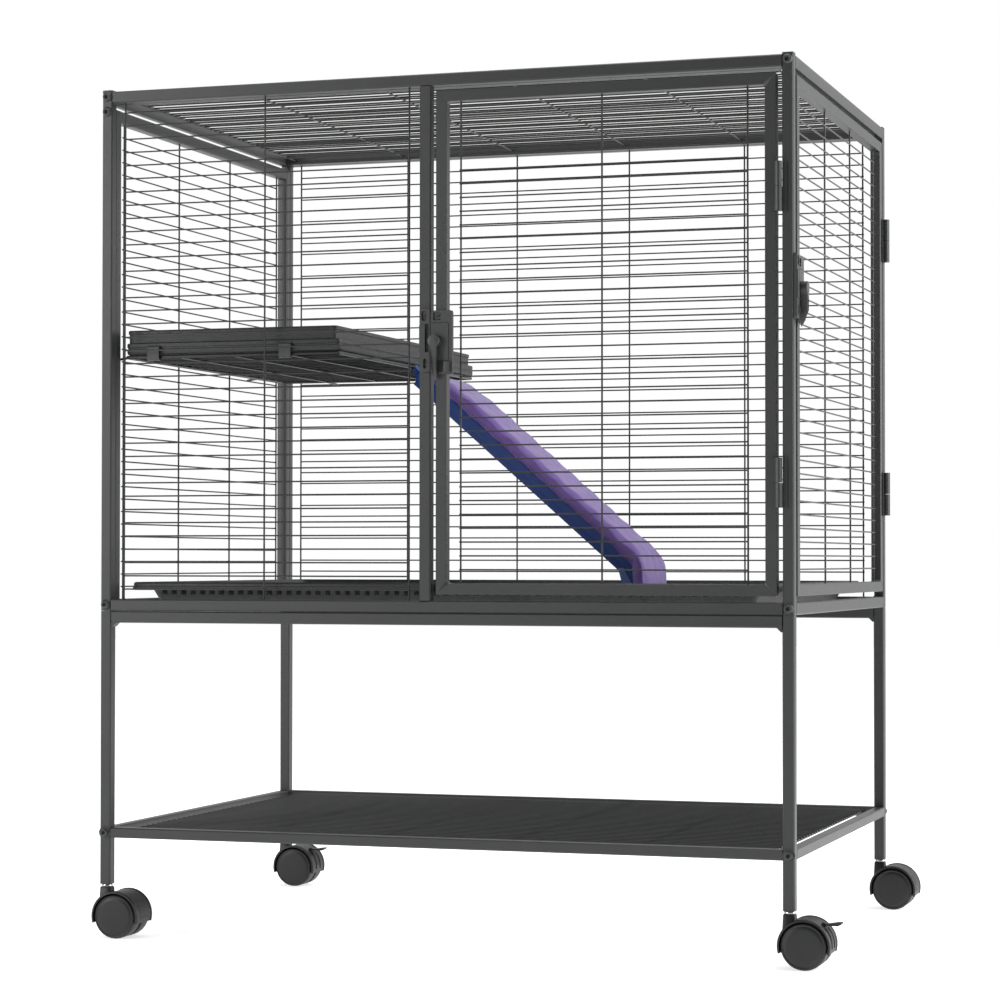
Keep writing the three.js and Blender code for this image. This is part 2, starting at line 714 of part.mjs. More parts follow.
/** A rail of the stand, with a small gusset under each end. */
function standRail(y) {
  const { size, thick } = gusset;
  const gussetShape = (x, towards) => polygon(swap([
    [x, standRailZ[0] + 1], [x, standRailZ[0] - size], [x + towards * thick, standRailZ[0] - size],
    [x + towards * (size + thick), standRailZ[0]], [x + towards * (size + thick), standRailZ[0] + 1],
  ]));
  const ends = [[-legInnerX, 1], [legInnerX, -1]];
  return join(
    tube([-legInnerX, legInnerX], y, standRailZ),
    ends.map(([x, towards]) => prism(gussetShape(x, towards), 1, [y[0] + 1, y[1] - 1], 1)),
  );
}

const rackZ = span(footZ + rackHeight, rackRail);

function storageGrille() {
  const openX = [-innerX, innerX];
  return grille({
    line: 0, stack: 1, plane: rackZ[1] - rackWireDrop, behind: -1,
    lines: spread(innerY, 16.5, 12),
    crosses: crossPlaces(openX, 16, 6),
    reach: [innerY[0] + fit, innerY[1] - fit],
  });
}

// ---------------------------------------------------------------- casters

const wheelSides = 18;
const hoodSides = 9;
const axleZ = caster.wheel * Math.cos(Math.PI / wheelSides);

/** The places of the four casters, named by the corner of the stand. */
const casterPlaces = [
  { name: 'front_left', x: -halfWidth + legTube / 2, y: legTube / 2, hasBrake: false },
  { name: 'front_right', x: halfWidth - legTube / 2, y: legTube / 2, hasBrake: true },
  { name: 'rear_left', x: -halfWidth + legTube / 2, y: depth - legTube / 2, hasBrake: true },
  { name: 'rear_right', x: halfWidth - legTube / 2, y: depth - legTube / 2, hasBrake: false },
];

// A caster is made about its axle, with the stem at -X.
const hubAngle = THREE.MathUtils.degToRad(brake.angle);
const hoodInner = caster.wheel + caster.hoodPlay;
const hoodOuter = hoodInner + caster.hood;
const hubAt = {
  x: (hoodInner + brake.hub) * Math.cos(hubAngle),
  z: (hoodInner + brake.hub) * Math.sin(hubAngle),
};

function casterHood(hasBrake) {
  const dip = Math.asin(caster.dip / hoodOuter);
  const start = Math.PI / 2 + dip;
  const end = -Math.PI / 2 - dip;
  const shell = new THREE.Shape();
  shell.absarc(0, 0, hoodOuter, start, end, true);
  shell.absarc(0, 0, hoodInner, end, start, false);
  const web = new THREE.Shape();
  web.absarc(0, 0, hoodInner + 1, start, end, true);
  const stemZ = caster.height - axleZ;
  const ringZ = [stemZ - fit - caster.ring, stemZ - fit];
  const collar = rectangle(around(-caster.trail, 2 * caster.collar), around(0, 2 * caster.collar), 2.5);
  const body = join(
    prism(shell, 1, around(0, caster.width), hoodSides),
    prism(web, 1, around(0, caster.web), hoodSides),
    prism(collar, 2, [caster.collarBase, ringZ[0]], 2),
    roundBar(2, ringZ, -caster.trail, 0, caster.collar - 1, 6),
    roundBar(2, [ringZ[0], stemZ + caster.stemLength], -caster.trail, 0, caster.stem, 4),
  );
  const wheelRoom = [-1, 1].map((side) => {
    const y = side < 0 ? [-caster.width, -caster.web / 2] : [caster.web / 2, caster.width];
    return roundBar(1, y, 0, 0, hoodInner, hoodSides);
  });
  const cuts = [...wheelRoom, roundBar(1, around(0, caster.width), 0, 0, caster.axle + caster.axlePlay, 5)];
  if (hasBrake) {
    const slot = brake.hubWidth + 2 * brake.play;
    cuts.push(roundBar(1, around(0, slot), hubAt.z, hubAt.x, brake.hub + brake.play, 4));
    const room = hoodOuter - hoodInner + 2 * brake.hub + brake.travel;
    cuts.push(block([hubAt.x, hubAt.x + room], around(0, slot), [hubAt.z - brake.travel, hubAt.z + room]));
  }
  return body.subtract(join(cuts));
}

/** Two wheels on one axle, as a single turned body about Y. */
function wheelPair() {
  const { wheel, chamfer, dish } = caster;
  const outside = caster.width / 2;
  const inner = caster.web / 2 + caster.webPlay;
  const half = [
    [caster.axle, inner], [wheel - chamfer, inner], [wheel, inner + chamfer], [wheel, outside - dish],
    [wheel - chamfer, outside - chamfer], [wheel - dish, outside], [0, outside],
  ];
  const profile = [...half.map(([r, y]) => [r, -y]).reverse(), ...half];
  const points = profile.map(([r, y]) => new THREE.Vector2(r, y));
  return solid(new THREE.LatheGeometry(points, wheelSides, Math.PI / wheelSides));
}

/** The foot lever of a brake: a hub in the hood with a flat arm that ends in a raised toe. */
function brakeLever() {
  const { hub, thick, reach } = brake;
  const toe = hub + thick / 2;
  const arm = polygon([
    [thick, 0], [-thick / 2, 0], [-thick / 2, reach - toe], [thick / 2, reach],
    [toe - thick / 3, reach + thick / 3], [hub, reach - toe], [thick / 2, toe],
  ].map(([up, out]) => [hubAt.z + up, hubAt.x + out]));
  return join(
    roundBar(1, around(0, brake.hubWidth), hubAt.z, hubAt.x, hub, 4),
    prism(arm, 1, around(0, brake.hubWidth), 1),
  );
}

// ---------------------------------------------------------------- assembly

const cage = new THREE.Group();

function add(name, body, material) {
  const mesh = new THREE.Mesh(geometryOf(body), material);
  mesh.name = name;
  cage.add(mesh);
}

const rightRailX = [innerX, halfWidth];
const leftRailX = mirrored(rightRailX);
const railX = [-innerX + fit, innerX - fit];
const frontRailY = [0, post];
const rearRailY = [depth - post, depth];
const sideRailY = [legTube + fit, depth - legTube - fit];

add('front_left_post', frontPost([-halfWidth, -innerX]), powderCoat);
add('front_centre_post', tube(centrePost, [0, post], [bottomRail[1] + fit, topRail[0] - fit]), powderCoat);
add('front_right_post', frontPost([innerX, halfWidth]), powderCoat);
add('front_top_rail', tube(railX, frontRailY, topRail), powderCoat);
add('front_bottom_rail', tube(railX, frontRailY, bottomRail), powderCoat);
add('front_grille', frontGrille(), powderCoat);
add('left_panel', leftPanel(), powderCoat);
add('rear_panel', rearPanel(), powderCoat);
add('roof_panel', roofPanel(), powderCoat);
add('right_bottom_rail', tube(rightRailX, innerY, bottomRail), powderCoat);
add('floor_grid', floorGrid(), powderCoat);

add('front_door', frontDoor(), powderCoat);
add('side_door', sideDoor(), powderCoat);
for (const [level, z] of [['lower', hinge.lowerZ], ['upper', hinge.upperZ]]) {
  add(`front_${level}_hinge_leaf`, atFront(fixedLeaf(), z), powderCoat);
  add(`front_door_${level}_hinge_leaf`, atFront(movingLeaf(), z), powderCoat);
  add(`side_${level}_hinge_leaf`, atSide(fixedLeaf(), z), powderCoat);
  add(`side_door_${level}_hinge_leaf`, atSide(movingLeaf(), z), powderCoat);
}
const latches = [['front', doorLatchGap, latchAtFront], ['side', sideLatchGap, latchAtSide]];
for (const [side, gap, place] of latches) {
  add(`${side}_latch_keeper`, place(latchKeeper(gap)), blackPlastic);
  add(`${side}_latch_housing`, place(latchHousing(gap)), blackPlastic);
  add(`${side}_latch_lever`, place(latchLever(gap)), blackPlastic);
}

add('floor_tray', floorTray(), trayPlastic);
add('platform_rack', platformRack(), powderCoat);
add('platform_pan', platformPan(), trayPlastic);
add('platform_clip_left', panClip(panX[0] + clip.left), blackPlastic);
add('platform_clip_right', panClip(panX[1] - clip.right), blackPlastic);
add('ramp_board', rampBoard(), bluePlastic);
add('ramp_cover', rampCover(), lilacCloth);

add('front_left_leg', leg(-1, false), powderCoat);
add('front_right_leg', leg(1, false), powderCoat);
add('rear_left_leg', leg(-1, true), powderCoat);
add('rear_right_leg', leg(1, true), powderCoat);
add('stand_front_rail', standRail(frontRailY), powderCoat);
add('stand_rear_rail', standRail(rearRailY), powderCoat);
add('rack_front_rail', tube([-legInnerX, legInnerX], frontRailY, rackZ), powderCoat);
add('rack_rear_rail', tube([-legInnerX, legInnerX], rearRailY, rackZ), powderCoat);
add('rack_left_rail', tube(leftRailX, sideRailY, rackZ), powderCoat);
add('rack_right_rail', tube(rightRailX, sideRailY, rackZ), powderCoat);
add('rack_grille', storageGrille(), powderCoat);

for (const { name, x, y, hasBrake } of casterPlaces) {
  const move = (body) => body.translate([x + caster.trail, y, axleZ]);
  add(`${name}_caster`, move(casterHood(hasBrake)), blackPlastic);
  add(`${name}_wheels`, move(wheelPair()), tread);
  if (hasBrake) add(`${name}_brake_lever`, move(brakeLever()), blackPlastic);
}

const footprint = new THREE.Box3().setFromObject(cage);
const centre = footprint.getCenter(new THREE.Vector3());
cage.position.set(-centre.x, -centre.y, -footprint.min.z);

export default cage;
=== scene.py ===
import math

import bmesh
import bpy
from mathutils import Matrix, Vector
from mathutils.bvhtree import BVHTree


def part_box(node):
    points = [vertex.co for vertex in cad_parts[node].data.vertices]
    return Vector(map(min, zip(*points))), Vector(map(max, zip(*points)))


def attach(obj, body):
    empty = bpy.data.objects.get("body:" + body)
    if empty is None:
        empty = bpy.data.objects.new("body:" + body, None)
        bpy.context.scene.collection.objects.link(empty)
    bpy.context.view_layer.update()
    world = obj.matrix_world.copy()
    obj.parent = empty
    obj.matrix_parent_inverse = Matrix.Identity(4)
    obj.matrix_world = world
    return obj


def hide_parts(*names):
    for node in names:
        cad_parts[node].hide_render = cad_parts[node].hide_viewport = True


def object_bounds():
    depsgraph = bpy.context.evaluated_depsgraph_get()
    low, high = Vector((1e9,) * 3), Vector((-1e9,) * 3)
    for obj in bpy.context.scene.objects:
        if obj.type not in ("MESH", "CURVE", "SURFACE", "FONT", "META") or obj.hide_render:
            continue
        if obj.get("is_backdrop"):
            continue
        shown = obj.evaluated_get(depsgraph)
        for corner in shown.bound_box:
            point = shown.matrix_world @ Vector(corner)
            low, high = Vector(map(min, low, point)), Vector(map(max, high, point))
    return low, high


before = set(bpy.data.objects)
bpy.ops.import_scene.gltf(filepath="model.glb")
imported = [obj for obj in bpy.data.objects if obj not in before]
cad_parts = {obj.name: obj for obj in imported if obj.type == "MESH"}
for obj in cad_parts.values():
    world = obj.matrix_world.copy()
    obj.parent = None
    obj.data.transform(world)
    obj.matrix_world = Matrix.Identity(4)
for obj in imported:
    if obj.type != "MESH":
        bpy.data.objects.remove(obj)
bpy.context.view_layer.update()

# A wheeled wire cage for small animals, dressed round its frame. Lengths are millimetres in the
# cage's own coordinates (X from the middle of the front, Y back from the front face, Z up from
# the floor) until a piece is made, which turns them into the frame's metres.

M = 0.001
X, Y, Z = 0, 1, 2

# ------------------------------------------------------------------ driving sizes

HALF_WIDTH = 457
POST = 14
TUBE_CORNER = 1.3
DOOR_STILE = 14
DOOR_RAIL = 14
LINE_WIRE = 2.0
ROOF_WIRE = 2.4
CROSS_WIRE = 2.4
WIRE_INSET = 5.5
# How deep the wires of a grille are sunk in each other, and how far lines pass the outer crosses.
WIRE_SINK = 0.5
OVERHANG = 1.4
# The pitch of the line wires of each grille.
FRONT_PITCH = 17.18
FRONT_DOOR_PITCH = 17.2
SIDE_DOOR_PITCH = 16.64
LEFT_PITCH = 16.42
REAR_PITCH = 16.46
FLAT_PITCH = 16.5
# How deep tubes and wires are sunk in the tubes they are welded to. A tube between two others is
# also a little slimmer, so that no two faces share a plane.
WELD = 1
STEP_BACK = 0.1
# The frame rods of the shelf rack, and the gap between them and the shelf pan.
RACK_ROD = 2.5
RACK_GAP = 0.5
WHEEL_RADIUS = 28.5
HOOD_RADIUS = 32.4
LEG_END = 68
TRAIL = 21
RAMP_SLOPE = math.radians(41.2)

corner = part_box("front_left_post")[0] / M
SHIFT = Vector((corner.x + HALF_WIDTH, corner.y, 0))


def spans(node):
    """A node's box in the cage's coordinates, as its span along each axis."""
    low, high = (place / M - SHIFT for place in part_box(node))
    return [(low[axis], high[axis]) for axis in range(3)]


# ------------------------------------------------------------------ camera and studio

# The place in the cage's coordinates, the turns in radians and the focal length in millimetres.
CAMERA = {"x": 1144.1, "y": -3262, "z": 486.7, "yaw": 0.3133, "pitch": 0.0218, "roll": 0.0006,
          "lens": 99.78}


def make_camera():
    data = bpy.data.cameras.new("camera")
    data.lens = CAMERA["lens"]
    data.sensor_width = 36
    data.clip_end = 50
    camera = bpy.data.objects.new("camera", data)
    camera.location = (Vector((CAMERA["x"], CAMERA["y"], CAMERA["z"])) + SHIFT) * M
    yaw = Matrix.Rotation(CAMERA["yaw"], 3, "Z")
    pitch = Matrix.Rotation(math.pi / 2 + CAMERA["pitch"], 3, "X")
    roll = Matrix.Rotation(CAMERA["roll"], 3, "Z")
    camera.rotation_euler = (yaw @ pitch @ roll).to_euler()
    bpy.context.scene.collection.objects.link(camera)
    bpy.context.scene.camera = camera


make_camera()


# ------------------------------------------------------------------ materials

# The colour sockets of a Mix node, which share their names with its other sockets.
MIX_A, MIX_B, MIX_RESULT = 6, 7, 2


def linear(hex_colour):
    """An sRGB hex colour as linear red, green, blue and alpha."""
    parts = [int(hex_colour[i:i + 2], 16) / 255 for i in (1, 3, 5)]
    return [c / 12.92 if c <= 0.04045 else ((c + 0.055) / 1.055) ** 2.4 for c in parts] + [1]


def add(tree, kind, inputs=None, **settings):
    """Adds a node, sets its settings and its input values, and links inputs that name a socket."""
    made = tree.nodes.new(kind)
    for key, value in settings.items():
        setattr(made, key, value)
    for key, value in (inputs or {}).items():
        if isinstance(value, bpy.types.NodeSocket):
            tree.links.new(value, made.inputs[key])
        else:
            made.inputs[key].default_value = value
    return made


def per(size_mm):
    """The scale of a procedural pattern whose features are this many millimetres apart."""
    return 1 / (size_mm * M)


def finish_of(name, colours, roughness, grain_mm, grain_height_mm, cloud_mm=60, metallic=0.0, ior=1.5):
    """A material with a mottled colour, a varying roughness and a fine grain in its surface."""
    material = bpy.data.materials.new(name)
    material.use_nodes = True
    tree = material.node_tree
    shader = tree.nodes["Principled BSDF"]
    place = add(tree, "ShaderNodeTexCoord").outputs["Object"]
    cloud = add(tree, "ShaderNodeTexNoise", {"Vector": place, "Scale": per(cloud_mm), "Detail": 3.0})
    mix = add(tree, "ShaderNodeMix", {
        "Factor": cloud.outputs["Fac"], MIX_A: linear(colours[0]), MIX_B: linear(colours[1]),
    }, data_type="RGBA")
    tree.links.new(mix.outputs[MIX_RESULT], shader.inputs["Base Color"])
    grain = add(tree, "ShaderNodeTexNoise", {"Vector": place, "Scale": per(grain_mm), "Detail": 2.0})
    rough = add(tree, "ShaderNodeMapRange", {
        "Value": grain.outputs["Fac"], "From Min": 0.3, "From Max": 0.7,
        "To Min": roughness[0], "To Max": roughness[1],
    })
    tree.links.new(rough.outputs["Result"], shader.inputs["Roughness"])
    bump = add(tree, "ShaderNodeBump", {
        "Height": grain.outputs["Fac"], "Strength": 1.0, "Distance": grain_height_mm * M,
    })
    tree.links.new(bump.outputs["Normal"], shader.inputs["Normal"])
    shader.inputs["Metallic"].default_value = metallic
    shader.inputs["IOR"].default_value = ior
    return material


def satin_cloth(name, colours, thread_mm, wrinkle_mm, wrinkle_height_mm):
    """A woven nylon satin: crossed threads, soft puckers and a sheen at glancing angles. A wave
    pattern of scale 1 turns through 20 radians in a metre, so a rib is 2 pi times thread_mm wide."""
    material = finish_of(name, colours, (0.5, 0.62), 9, 0.05, cloud_mm=45)
    tree = material.node_tree
    shader = tree.nodes["Principled BSDF"]
    place = add(tree, "ShaderNodeTexCoord").outputs["Object"]
    threads = [
        add(tree, "ShaderNodeTexWave", {
            "Vector": place, "Scale": per(thread_mm) / 20, "Distortion": 0.6,
        }, bands_direction=direction).outputs["Fac"]
        for direction in ("DIAGONAL", "Y")
    ]
    weave = add(tree, "ShaderNodeMath", {0: threads[0], 1: threads[1]}, operation="MULTIPLY")
    wrinkles = add(tree, "ShaderNodeTexNoise", {
        "Vector": place, "Scale": per(wrinkle_mm), "Detail": 1.5,
    })
    coarse = add(tree, "ShaderNodeBump", {
        "Height": wrinkles.outputs["Fac"], "Strength": 1.0, "Distance": wrinkle_height_mm * M,
    })
    fine = add(tree, "ShaderNodeBump", {
        "Height": weave.outputs["Value"], "Strength": 0.6, "Distance": 0.15 * M,
        "Normal": coarse.outputs["Normal"],
    })
    tree.links.new(fine.outputs["Normal"], shader.inputs["Normal"])
    shader.inputs["Sheen Weight"].default_value = 0.35
    shader.inputs["Sheen Roughness"].default_value = 0.4
    return material


# Polyester powder coat baked on steel: an even charcoal with a soft shine and a faint orange
# peel, drawn at 1.6 mm.
POWDER_COAT = finish_of("powder coated steel", ("#2b2c2c", "#313232"), (0.38, 0.48), 1.6, 0.05)
# The same coat on the drawn wire, painted darker than on the tubes as shade, and glossier.
SHADED_WIRE_COAT = finish_of("powder coated wire with painted shade", ("#171818", "#1e1f1f"), (0.34, 0.44), 1.2, 0.02)
# Moulded ABS of the latches, clips, bolts and caps: black, finely spark-eroded, satin.
BLACK_ABS = finish_of("black ABS", ("#2d2e2e", "#333434"), (0.44, 0.54), 0.8, 0.03)
# The same plastic, dull and darker as painted shade, for the bottoms of recesses and sockets where no
# light gets in.
PAINTED_SHADE_ABS = finish_of("black ABS painted shade", ("#0d0d0d", "#131313"), (0.6, 0.7), 0.8, 0.01)
# Injection-moulded polypropylene of the tray and the shelf pan: a blotchy charcoal whose
# leather-like grain breaks up the highlights. The grain is drawn at 2.6 mm so that it shows.
CHARCOAL_PP = finish_of("charcoal polypropylene", ("#1a1b1c", "#272829"), (0.44, 0.6), 2.6, 0.3,
                        cloud_mm=14)
# Moulded nylon of the hoods, wheels and brakes of the casters: black with a soft, even shine.
NYLON = finish_of("black nylon", ("#0e0e0f", "#131414"), (0.42, 0.54), 1.6, 0.06)
# Bright zinc plate on the stems and rings: a cool bluish metal with faint drawing marks.
ZINC = finish_of("zinc plated steel", ("#c4c8ca", "#d4d7d9"), (0.2, 0.32), 1.0, 0.01, metallic=1.0)
# Blue moulded polypropylene of the ramp: deep and satin. Its low index keeps the blue from paling.
BLUE_PP = finish_of("blue polypropylene", ("#0b2b66", "#113a80"), (0.42, 0.54), 3.0, 0.15, ior=1.4)
# The soft foot that the ramp stands on: a greyer, paler and duller blue.
FOOT_RUBBER = finish_of("soft blue rubber", ("#3f5488", "#4a6096"), (0.55, 0.68), 2.0, 0.1)
# Lilac nylon satin over foam, with a pale sheen on its curves. Its threads are 0.3 mm; their ribs
# are drawn 7 mm apart and very shallow, because finer ones would be lost at this distance.
LILAC_SATIN = satin_cloth("lilac nylon satin", ("#583f83", "#694d95"), 1.1, 24, 1.6)
# The thread of the cover's seams, a shade darker than the cloth.
SEAM_THREAD = finish_of("polyester seam thread", ("#3d2b69", "#483579"), (0.6, 0.7), 0.8, 0.05)


# ------------------------------------------------------------------ forms

class Form:
    """The points and faces of one piece, gathered from closed parts."""

    def __init__(self):
        self.points = []
        self.faces = []

    def rings(self, rings, closed=False):
        """A skin over rings of equal point count. An open one is capped at both ends."""
        base = len(self.points)
        count = len(rings[0])
        for ring in rings:
            self.points.extend(ring)
        last = len(rings) if closed else len(rings) - 1
        for level in range(last):
            a = base + level * count
            b = base + ((level + 1) % len(rings)) * count
            for i in range(count):
                j = (i + 1) % count
                self.faces.append((a + i, a + j, b + j, b + i))
        if not closed:
            self.faces.append(tuple(range(base + count - 1, base - 1, -1)))
            end = base + (len(rings) - 1) * count
            self.faces.append(tuple(range(end, end + count)))

    def moved(self, matrix):
        self.points = [tuple(matrix @ Vector(point)) for point in self.points]
        return self


def make(name, form, material, body, smooth=40, replaces=()):
    """Makes a form into a piece that rides on a body, with its faces turned outwards."""
    mesh = bpy.data.meshes.new(name)
    mesh.from_pydata([(Vector(point) + SHIFT) * M for point in form.points], [], form.faces)
    bm = bmesh.new()
    bm.from_mesh(mesh)
    bmesh.ops.recalc_face_normals(bm, faces=bm.faces)
    bm.to_mesh(mesh)
    bm.free()
    mesh.materials.append(material)
    mesh.shade_smooth()
    mesh.set_sharp_from_angle(angle=math.radians(smooth))
    piece = bpy.data.objects.new(name, mesh)
    bpy.context.scene.collection.objects.link(piece)
    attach(piece, body)
    if replaces:
        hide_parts(*replaces)
    return piece


def around(centre, size):
    """The span of this size about a place."""
    return (centre - size / 2, centre + size / 2)


def inset(span, by):
    return (span[0] + by, span[1] - by)


def sunk(span, depth):
    """A span that reaches this deep into what stands at both of its ends."""
    return (span[0] - depth, span[1] + depth)


def row(first, count, pitch):
    return [first + i * pitch for i in range(count)]


def spread(span, pitch, margin):
    """Evenly pitched places that leave about the same margin at both ends of a span."""
    low, high = span
    count = math.floor((high - low - 2 * margin) / pitch + 1e-6) + 1
    return row((low + high - (count - 1) * pitch) / 2, count, pitch)


def cross_places(span, inset_by, count, far_inset=None):
    """Cross wire places: the outer two stand in from the frame and the rest share the room."""
    low, high = span
    far = inset_by if far_inset is None else far_inset
    return row(low + inset_by, count, (high - low - inset_by - far) / (count - 1))


def arc(radius, start, end, steps, centre=(0, 0)):
    """The points of an arc between two angles in degrees."""
    angles = [math.radians(start + (end - start) * i / steps) for i in range(steps + 1)]
    return [(centre[0] + radius * math.cos(a), centre[1] + radius * math.sin(a)) for a in angles]


def rounded(u, v, radius, steps=3):
    """The outline of a rectangle with rounded corners, anticlockwise."""
    centres = [(u[1] - radius, v[1] - radius), (u[0] + radius, v[1] - radius),
               (u[0] + radius, v[0] + radius), (u[1] - radius, v[0] + radius)]
    return [point for turn, centre in enumerate(centres)
            for point in arc(radius, 90 * turn, 90 * turn + 90, steps, centre)]


def placed(axis, along, u, v):
    """A point given along an axis and across it, in the two axes that follow in cyclic order."""
    point = [0, 0, 0]
    point[axis] = along
    point[(axis + 1) % 3] = u
    point[(axis + 2) % 3] = v
    return tuple(point)


def square_tube(form, x, y, z, radius=TUBE_CORNER, ease=0.5):
    """A straight square tube with rounded corners and eased ends, along its longest span."""
    box = [x, y, z]
    axis = max(range(3), key=lambda i: box[i][1] - box[i][0])
    u, v = box[(axis + 1) % 3], box[(axis + 2) % 3]
    full = rounded(u, v, radius)
    small = rounded(inset(u, ease), inset(v, ease), radius - ease / 2)
    low, high = box[axis]
    stations = [(low, small), (low + ease, full), (high - ease, full), (high, small)]
    form.rings([[placed(axis, at, *point) for point in ring] for at, ring in stations])


def block(form, x, y, z, ease=0.4):
    """A rectangular block with eased edges all round."""
    square_tube(form, x, y, z, radius=2 * ease, ease=ease)


def rod(form, start, end, radius, sides=10):
    """A straight round rod with slightly domed ends."""
    start, end = Vector(start), Vector(end)
    way = (end - start).normalized()
    side = way.orthogonal().normalized()
    up = way.cross(side)

    def ring(centre, size):
        return [tuple(centre + size * (side * math.cos(a) + up * math.sin(a)))
                for a in (2 * math.pi * i / sides for i in range(sides))]

    dome, tip = radius * 0.35, radius * 0.65
    form.rings([ring(start, tip), ring(start + way * dome, radius),
                ring(end - way * dome, radius), ring(end, tip)])


def bent_rod(form, corners, radius, bend, closed=False, sides=12, steps=6):
    """A round rod through corners, bent round each of them on an arc."""
    corners = [Vector(corner) for corner in corners]
    count = len(corners)
    path = []
    for i, corner_point in enumerate(corners):
        if not closed and i in (0, count - 1):
            path.append(corner_point)
            continue
        before = (corners[i - 1] - corner_point).normalized()
        after = (corners[(i + 1) % count] - corner_point).normalized()
        half = before.angle(after) / 2
        reach = bend / math.tan(half)
        centre = corner_point + (before + after).normalized() * bend / math.sin(half)
        first = corner_point + before * reach - centre
        last = corner_point + after * reach - centre
        for step in range(steps + 1):
            path.append(centre + first.slerp(last, step / steps))
    rings = []
    side = None
    for i, point in enumerate(path):
        previous = path[i - 1] if closed or i else point
        following = path[(i + 1) % len(path)] if closed or i < len(path) - 1 else point
        way = (following - previous).normalized()
        side = way.orthogonal() if side is None else side - way * side.dot(way)
        side.normalize()
        up = way.cross(side)
        rings.append([tuple(point + radius * (side * math.cos(a) + up * math.sin(a)))
                      for a in (2 * math.pi * k / sides for k in range(sides))])
    form.rings(rings, closed)


def turned(form, profile, centre, axis=Z, sides=48):
    """A solid turned about an axis through centre. The profile is a list of (radius, height)."""
    rings = []
    for radius, height in profile:
        ring = []
        for i in range(sides):
            angle = 2 * math.pi * i / sides
            point = placed(axis, height, radius * math.cos(angle), radius * math.sin(angle))
            ring.append(tuple(Vector(point) + Vector(centre)))
        rings.append(ring)
    form.rings(rings)


def surface(mesh):
    """A mesh that rays can be cast at."""
    return BVHTree.FromPolygons([vertex.co for vertex in mesh.vertices],
                                [polygon.vertices for polygon in mesh.polygons])


# ------------------------------------------------------------------ welded grilles

def grille(node, line, stack, plane, behind, lines, crosses, reach, body="cage", line_wire=LINE_WIRE):
    """The welded round wires of a CAD node, as a piece in its place. The lines run along one axis
    and are stacked along another. They are sunk a little into the cross wires behind them, and
    stand a little past the outer two. The reach is that of the cross wires."""
    normal = 3 - line - stack
    back = plane + behind * ((line_wire + CROSS_WIRE) / 2 - WIRE_SINK)
    form = Form()

    def wire(along_axis, along, across_axis, across, level, size):
        ends = []
        for at in along:
            point = [0, 0, 0]
            point[along_axis], point[across_axis], point[normal] = at, across, level
            ends.append(point)
        rod(form, ends[0], ends[1], size / 2)

    for at in crosses:
        wire(stack, reach, line, at, back, CROSS_WIRE)
    for at in lines:
        wire(line, (crosses[0] - OVERHANG, crosses[-1] + OVERHANG), stack, at, plane, line_wire)
    # The wires take the coat painted darker as shade.
    make(f"{node}_wires", form, SHADED_WIRE_COAT, body, replaces=(node,))


TOP_RAIL = spans("front_top_rail")[Z]
BOTTOM_RAIL = spans("front_bottom_rail")[Z]
ROOM = (BOTTOM_RAIL[1], TOP_RAIL[0])
DEPTH = spans("rear_panel")[Y][1]
INNER_X = HALF_WIDTH - POST
WIDE_OPEN = (-INNER_X, INNER_X)
WIDE_CROSSES = cross_places(WIDE_OPEN, 16, 6)


def front_grille():
    opening = (-INNER_X, spans("front_centre_post")[X][0])
    grille("front_grille", X, Z, WIRE_INSET, 1, spread(ROOM, FRONT_PITCH, 7.9),
           cross_places(opening, 15.8, 3), sunk(ROOM, 0.2))


def left_panel():
    x, y, z = spans("left_panel")
    room = (z[0] + 15, z[1] - 15)
    open_y = inset(y, POST)
    tubes = Form()
    square_tube(tubes, x, (y[0], open_y[0]), z)
    square_tube(tubes, x, (open_y[1], y[1]), z)
    square_tube(tubes, x, sunk(open_y, WELD), (z[0] + STEP_BACK, room[0]))
    square_tube(tubes, x, sunk(open_y, WELD), (room[1], z[1] - STEP_BACK))
    make("left_panel_tubes", tubes, POWDER_COAT, "cage", replaces=("left_panel",))
    grille("left_panel", Y, Z, -HALF_WIDTH + WIRE_INSET, 1, spread(room, LEFT_PITCH, 13),
           cross_places(open_y, 22, 4), sunk(room, WELD))


def rear_panel():
    y = spans("rear_panel")[Y]
    z = spans("rear_panel")[Z]
    tubes = Form()
    square_tube(tubes, (-HALF_WIDTH, -INNER_X), y, z)
    square_tube(tubes, (INNER_X, HALF_WIDTH), y, z)
    for rail in (BOTTOM_RAIL, TOP_RAIL):
        square_tube(tubes, sunk(WIDE_OPEN, WELD), inset(y, STEP_BACK), rail)
    make("rear_panel_tubes", tubes, POWDER_COAT, "cage", replaces=("rear_panel",))
    grille("rear_panel", X, Z, DEPTH - WIRE_INSET, -1, spread(ROOM, REAR_PITCH, 16), WIDE_CROSSES,
           sunk(ROOM, WELD))


def roof_panel():
    x, y, z = spans("roof_panel")
    open_y = inset(y, POST)
    tubes = Form()
    square_tube(tubes, (x[0], -INNER_X), y, z)
    square_tube(tubes, (INNER_X, x[1]), y, z)
    for tube_y in ((y[0] + STEP_BACK, open_y[0]), (open_y[1], y[1] - STEP_BACK)):
        square_tube(tubes, sunk(WIDE_OPEN, WELD), tube_y, inset(z, STEP_BACK))
    make("roof_panel_tubes", tubes, POWDER_COAT, "cage", replaces=("roof_panel",))
    # The lines of the roof stray by a millimetre or two, which shows as streaks from below.
    stray = 1.7
    lines = [at + stray * math.sin(2.3 * i) for i, at in enumerate(spread(open_y, FLAT_PITCH, 12))]
    grille("roof_panel", X, Y, z[0] + 7.5, -1, lines, WIDE_CROSSES, sunk(open_y, WELD),
           line_wire=ROOF_WIRE)


def floor_grid():
    _, y, z = spans("floor_grid")
    grille("floor_grid", X, Y, z[1] - CROSS_WIRE / 2, -1, spread(y, FLAT_PITCH, 18), WIDE_CROSSES,
           inset(y, 1))


def storage_grille():
    _, y, z = spans("rack_grille")
    opening = (POST + 0.3, DEPTH - POST - 0.3)
    grille("rack_grille", X, Y, z[1] - CROSS_WIRE / 2, -1, spread(opening, FLAT_PITCH, 12),
           WIDE_CROSSES, inset(y, 0.2))


# ------------------------------------------------------------------ doors

